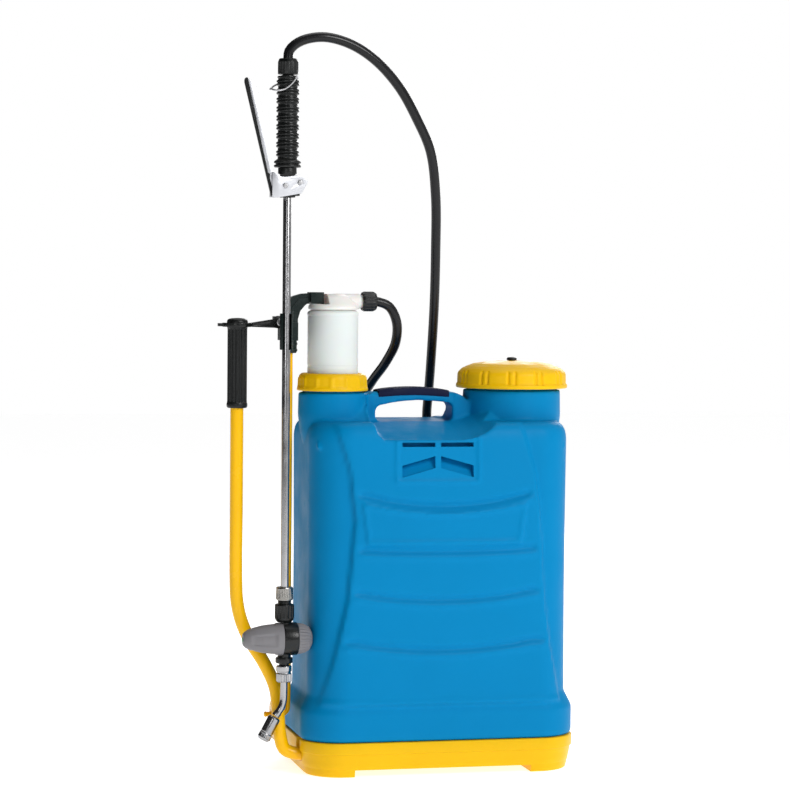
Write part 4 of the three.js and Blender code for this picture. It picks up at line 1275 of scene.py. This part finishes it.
def make_regulator(x, y, z):
    """Regulator: ribbed grey dome, black band and neck, and the turning knob with its dot."""
    across, upright = (y, z), (x, y)
    low = x + 15.4
    dome = [
        [0, low], [18.6, low], [19, low + 1], [18.6, x + 20], [17.4, x + 25], [14.4, x + 30],
        [9, x + 33.4], [0, x + 34],
    ]
    ribs = rib_wave(26, -1.3, low + 1.5, x + 31, beyond=13)
    piece("regulator_dome", lathe(dome, across, "X", 208, ribs, 0.8), GREY, "lance", "grey_plastic")
    band = [
        [0, x - 2], [19.4, x - 2], [20, x - 1.2], [20.2, x + 7], [20, x + 14.4], [19.4, x + 15.2],
        [0, x + 15.2],
    ]
    flange = [[0, 138], [9.6, 138], [10.5, 139], [10.5, 144], [9.6, 145], [0, 145]]
    parts = [
        lathe(band, across, "X", 72, radius=0.4),
        rod(8, z - 23, 187.6, upright, rounding=0.4),
        lathe(flange, upright, "Z", 48, radius=0.4),
        rod(6, 119, 141, upright, segments=32, rounding=0.3),
    ]
    room = block(x - 70, x - 2.05, y - 30, y + 30, z - 20.6, z + 20.3)
    fused_piece("regulator_core", parts, [room], BLACK, "lance", ["regulator_body"], 0.4)
    make_regulator_knob(x, across)


def make_regulator_knob(x, across):
    """Cone knob with four flat panels, pushed out along -X, and the green dot on its end."""
    base = x - 2.4
    cone = [
        [0, x - 51], [7, x - 51], [9.6, x - 48.6], [12.4, x - 44], [15.2, x - 37], [17.6, x - 28],
        [18.9, x - 19], [19.6, x - 9], [19.6, base], [0, base],
    ]

    def panels(angle, r, h):
        if not x - 42 < h < x - 10 or r < 7:
            return r
        edge = min(1.0, (h - (x - 42)) / 4, ((x - 10) - h) / 4)
        return r - 1.8 * max(0.0, min(1.0, (math.cos(4 * angle) + 0.25) * 3)) * edge

    rows = []
    for a, b in zip(cone, cone[1:]):
        steps = max(1, int(abs(b[1] - a[1]) / 2))
        for i in range(steps):
            rows.append([a[0] + (b[0] - a[0]) * i / steps, a[1] + (b[1] - a[1]) * i / steps])
    knob = lathe([*rows, cone[-1]], across, "X", 144, panels, 0.4)
    nodes = ["regulator_knob"]
    piece("regulator_cone", knob, GREY, "regulator_knob", "grey_plastic", nodes, sharp_deg=34)
    dot = [[0, x - 51.7], [2.2, x - 51.7], [2.6, x - 51.2], [2.6, x - 50], [0, x - 50]]
    piece("setting_dot", lathe(dot, across, "X", 28, radius=0.3), GREEN, "regulator_knob", "grey_plastic")


def make_nozzle(x, y):
    """Union nut, bent pipe and the leaning spray tip with its knurled band."""
    nut = [
        [6.5, 115], [8.6, 115], [9.3, 116], [9.3, 125], [8.4, 126], [8.4, 127.4], [9.4, 128.4],
        [9.4, 134], [8.8, 135], [6.5, 135], [6.5, 115],
    ]
    pipe_nut = lathe(nut, (x, y), "Z", 144, rib_wave(24, -0.8, 115.8, 125, beyond=8.9), 0.3)
    piece("pipe_nut", pipe_nut, CHROME, "lance", "chrome_brass", ["nozzle_nut"])
    pipe = smooth_path([
        (x, y, 118.6), (x, y, 104), (x - 0.6, y, 92), (x - 3, y, 84), (x - 6.5, y, 78.5),
        (x - 10.3, y, 73.4),
    ], 2)
    bent_pipe = tube(pipe, 4.4, 28, lambda t: 1.1 if t > 0.9 else 1.0)
    piece("bent_pipe", bent_pipe, CHROME, "lance", "chrome_brass", ["nozzle_pipe"])
    tip = lathe([
        [0, 0], [6.2, 0], [7.6, 1.6], [7.8, 3], [7.8, 20.6], [7.4, 21.2], [7.4, 22], [8.1, 22.8],
        [8.1, 28.6], [6.4, 31.4], [2, 32], [1, 30.5], [0, 30.5],
    ], (0, 0), "Z", 96, rib_wave(24, -0.5, 23, 28.4), 0.4)
    flip = Matrix.Rotation(math.pi, 4, "X")
    lean = Matrix.Rotation(math.radians(28), 4, "Y")
    place = Matrix.Translation((x - 10.9, y, 72.2))
    nozzle = moved(tip, place @ lean @ flip)
    piece("spray_nozzle", nozzle, CHROME, "nozzle_tip", "chrome_brass", ["nozzle_tip"])


# ---------- back: clip, anchor, straps ----------
def make_back():
    """Hose clip, strap anchor bar and the two shoulder straps on the rear face."""
    face = TANK.half_y + 0.35
    clip = (21, BACK_HOSE_Y)
    ring = rod(8.8, 412, 422, clip, rounding=0.6)
    tail = block(9, 33, face - 0.05, TANK.half_y + 2.6, 406, 428)
    hole = rod(6.4, 400, 430, clip)
    fused_piece("rear_clip", [tail, ring], [hole], BLACK, "tank", ["hose_clip"], 0.5)
    z = STRAP.anchor_z
    centres = (-STRAP.x, STRAP.x)
    parts = [block(-92, 92, face, face + 5, z - 8, z + 14)]
    parts += [block(cx - 25, cx + 25, face + 4, face + 15, z, z + 10) for cx in centres]
    parts += [block(cx - 1, cx + 1, face + 4, face + 7, z - 7, z + 13) for cx in (-24, -8, 8, 24)]
    slots = [block(cx - 21, cx + 21, face + 6, face + 11, z - 5, z + 20) for cx in centres]
    fused_piece("anchor_bar", parts, slots, BLACK, "tank", ["strap_anchor"], 0.7)
    for side, cx in zip(("left", "right"), centres):
        make_strap(side, cx, face + 8.5)


def make_strap(side, cx, hang):
    """One shoulder strap: webbing through the anchor, a foam pad, an adjuster, a lower web and its hook."""
    half = STRAP.half_width
    route = [
        (hang, 338), (hang, 352), (hang + 8, 360), (hang + 22, 352), (hang + 38, 320), (hang + 44, 270),
        (hang + 42, 225), (hang + 36, 196),
    ]
    tape = ribbon(route, cx, half - 4, lambda t: 2.6)
    lug = block(cx - 22, cx + 22, hang - 2.1, hang + 2.1, 334, 338.6)
    strap = fused(f"strap_tape_{side}", [tape, lug])
    finish_edges(strap, WEB, 0.3)
    placed(strap, "tank", [f"shoulder_strap_{side}"])
    make_pad(side, cx, hang, half)
    make_buckle(side, cx, hang)
    web = [(hang + 33, 157.6), (hang + 24, 112), (hang + 10, 66), (hang + 1, 36)]
    lower = ribbon(web, cx, 15, lambda t: 2.4)
    piece(f"lower_tape_{side}", lower, WEB, "tank", "webbing", [f"lower_web_{side}"])
    toe = block(cx - 19, cx + 19, 87, hang + 3, 15, 19)
    upright = block(cx - 19, cx + 19, hang - 1, hang + 3, 15, 35.4)
    window = block(cx - 15.6, cx + 15.6, hang - 4, hang + 6, 27, 32)
    nodes = [f"strap_hook_{side}"]
    fused_piece(f"hook_{side}", [toe, upright], [window], PRESSED, "tank", nodes, 0.6)


def make_pad(side, cx, hang, half):
    """Foam pad, full in the middle and thin at its ends, with a bound edge on both sides."""
    route = [
        (hang + 23, 351), (hang + 34, 331), (hang + 40.5, 308), (hang + 43.6, 280), (hang + 43.4, 245),
        (hang + 40, 212),
    ]

    def fullness(t):
        return 4.0 + 7.0 * min(1.0, 6 * t, 6 * (1 - t)) ** 0.6

    pad = ribbon(route, cx, half + 1, fullness)
    piece(f"strap_pad_{side}", pad, WEB, "tank", "webbing", sharp_deg=60)
    for letter, offset in (("a", -half + 1.5), ("b", half - 1.5)):
        beads = tube(smooth_path([(cx + offset, y, z) for y, z in route], 3), 3.6, 10)
        piece(f"pad_edge_{side}_{letter}", beads, RUBBER, "tank", "webbing")


def make_buckle(side, cx, hang):
    """Ladder-lock adjuster: a frame with three bars."""
    low, high, near, far = 158, 186, hang + 29, hang + 40
    plate = block(cx - 24, cx + 24, near, far, low, high)
    cuts = [block(cx - 18, cx + 18, near - 5, far + 5, z, z + 5.4) for z in (162, 169.8, 177.6)]
    corner = [(far + 1, high + 1), (far + 1, high - 12), (far - 4, high + 1)]
    cuts.append(prism(corner, cx - 30, cx + 30, "X"))
    nodes = [f"buckle_{side}"]
    fused_piece(f"adjuster_{side}", [plate], cuts, BLACK, "tank", nodes, 0.9)


def dress_hidden_nodes():
    """Inner pieces keep their CAD shape and get their real materials."""
    dress(GREY, "pump_cylinder", "piston_tube")
    dress(BLACK, "inlet_valve")
    dress(PRESSED, "inlet_ball")
    dress(RUBBER, "collar_gasket", "cap_gasket", "piston_seal")


# ---------- stage ----------
def glowing_paint(name, glow):
    """Matt white paint with enough glow to look evenly white."""
    paint = Surface(name, (0.86, 0.86, 0.86), 0.7)
    paint.roughen(paint.noise(3, 2), 0.1)
    paint.shader.inputs["Emission Color"].default_value = (1, 1, 1, 1)
    return paint.build(emission_strength=glow, specular_ior_level=0.1)


def make_surroundings():
    """Grey studio walls that darken to the pump side and look white to the camera."""
    world = bpy.data.worlds.new("studio")
    world.use_nodes = True
    nodes, links = world.node_tree.nodes, world.node_tree.links
    split = nodes.new("ShaderNodeSeparateXYZ")
    links.new(nodes.new("ShaderNodeTexCoord").outputs["Generated"], split.inputs[0])
    walls = nodes.new("ShaderNodeMapRange")
    links.new(split.outputs["X"], walls.inputs["Value"])
    for name, number in (("From Min", -0.4), ("From Max", 0.4), ("To Min", 0.04), ("To Max", 0.52)):
        walls.inputs[name].default_value = number
    seen = nodes.new("ShaderNodeMix")
    links.new(nodes.new("ShaderNodeLightPath").outputs["Is Camera Ray"], seen.inputs["Factor"])
    links.new(walls.outputs[0], seen.inputs["A"])
    seen.inputs["B"].default_value = 1.0
    links.new(seen.outputs["Result"], nodes["Background"].inputs["Strength"])
    nodes["Background"].inputs["Color"].default_value = (1, 1, 1, 1)
    bpy.context.scene.world = world


def make_stage():
    """White floor, soft surroundings, and a large key lamp from the front right."""
    floor = new_object("floor", block(-9000, 9000, -9000, 9000, -60, 0))
    floor.data.materials.append(glowing_paint("pale_floor", 0.74))
    make_surroundings()
    # name, place, size in metres, power in watts
    lamps = [
        ("key_light", (1300, -2600, 1900), 1.3, 53),
        ("fill_light", (-1500, -2600, 900), 0.7, 5),
        ("top_light", (200, 400, 2900), 1.6, 16),
        ("back_light", (1300, 2700, 1500), 1.3, 26),
    ]
    for name, place, size, power in lamps:
        data = bpy.data.lights.new(name, "AREA")
        data.size = size
        data.energy = power
        lamp = bpy.data.objects.new(name, data)
        lamp.location = metres([place])[0]
        aim = Vector(metres([(0, 0, 350)])[0]) - Vector(lamp.location)
        lamp.rotation_euler = aim.to_track_quat("-Z", "Y").to_euler()
        bpy.context.scene.collection.objects.link(lamp)
    bpy.context.scene.view_settings.view_transform = "Standard"


make_camera()
make_hoses()
make_stage()
make_tank()
make_base()
make_handle_pad()
make_pump()
make_lever()
make_filler()
make_lance()
make_back()
dress_hidden_nodes()
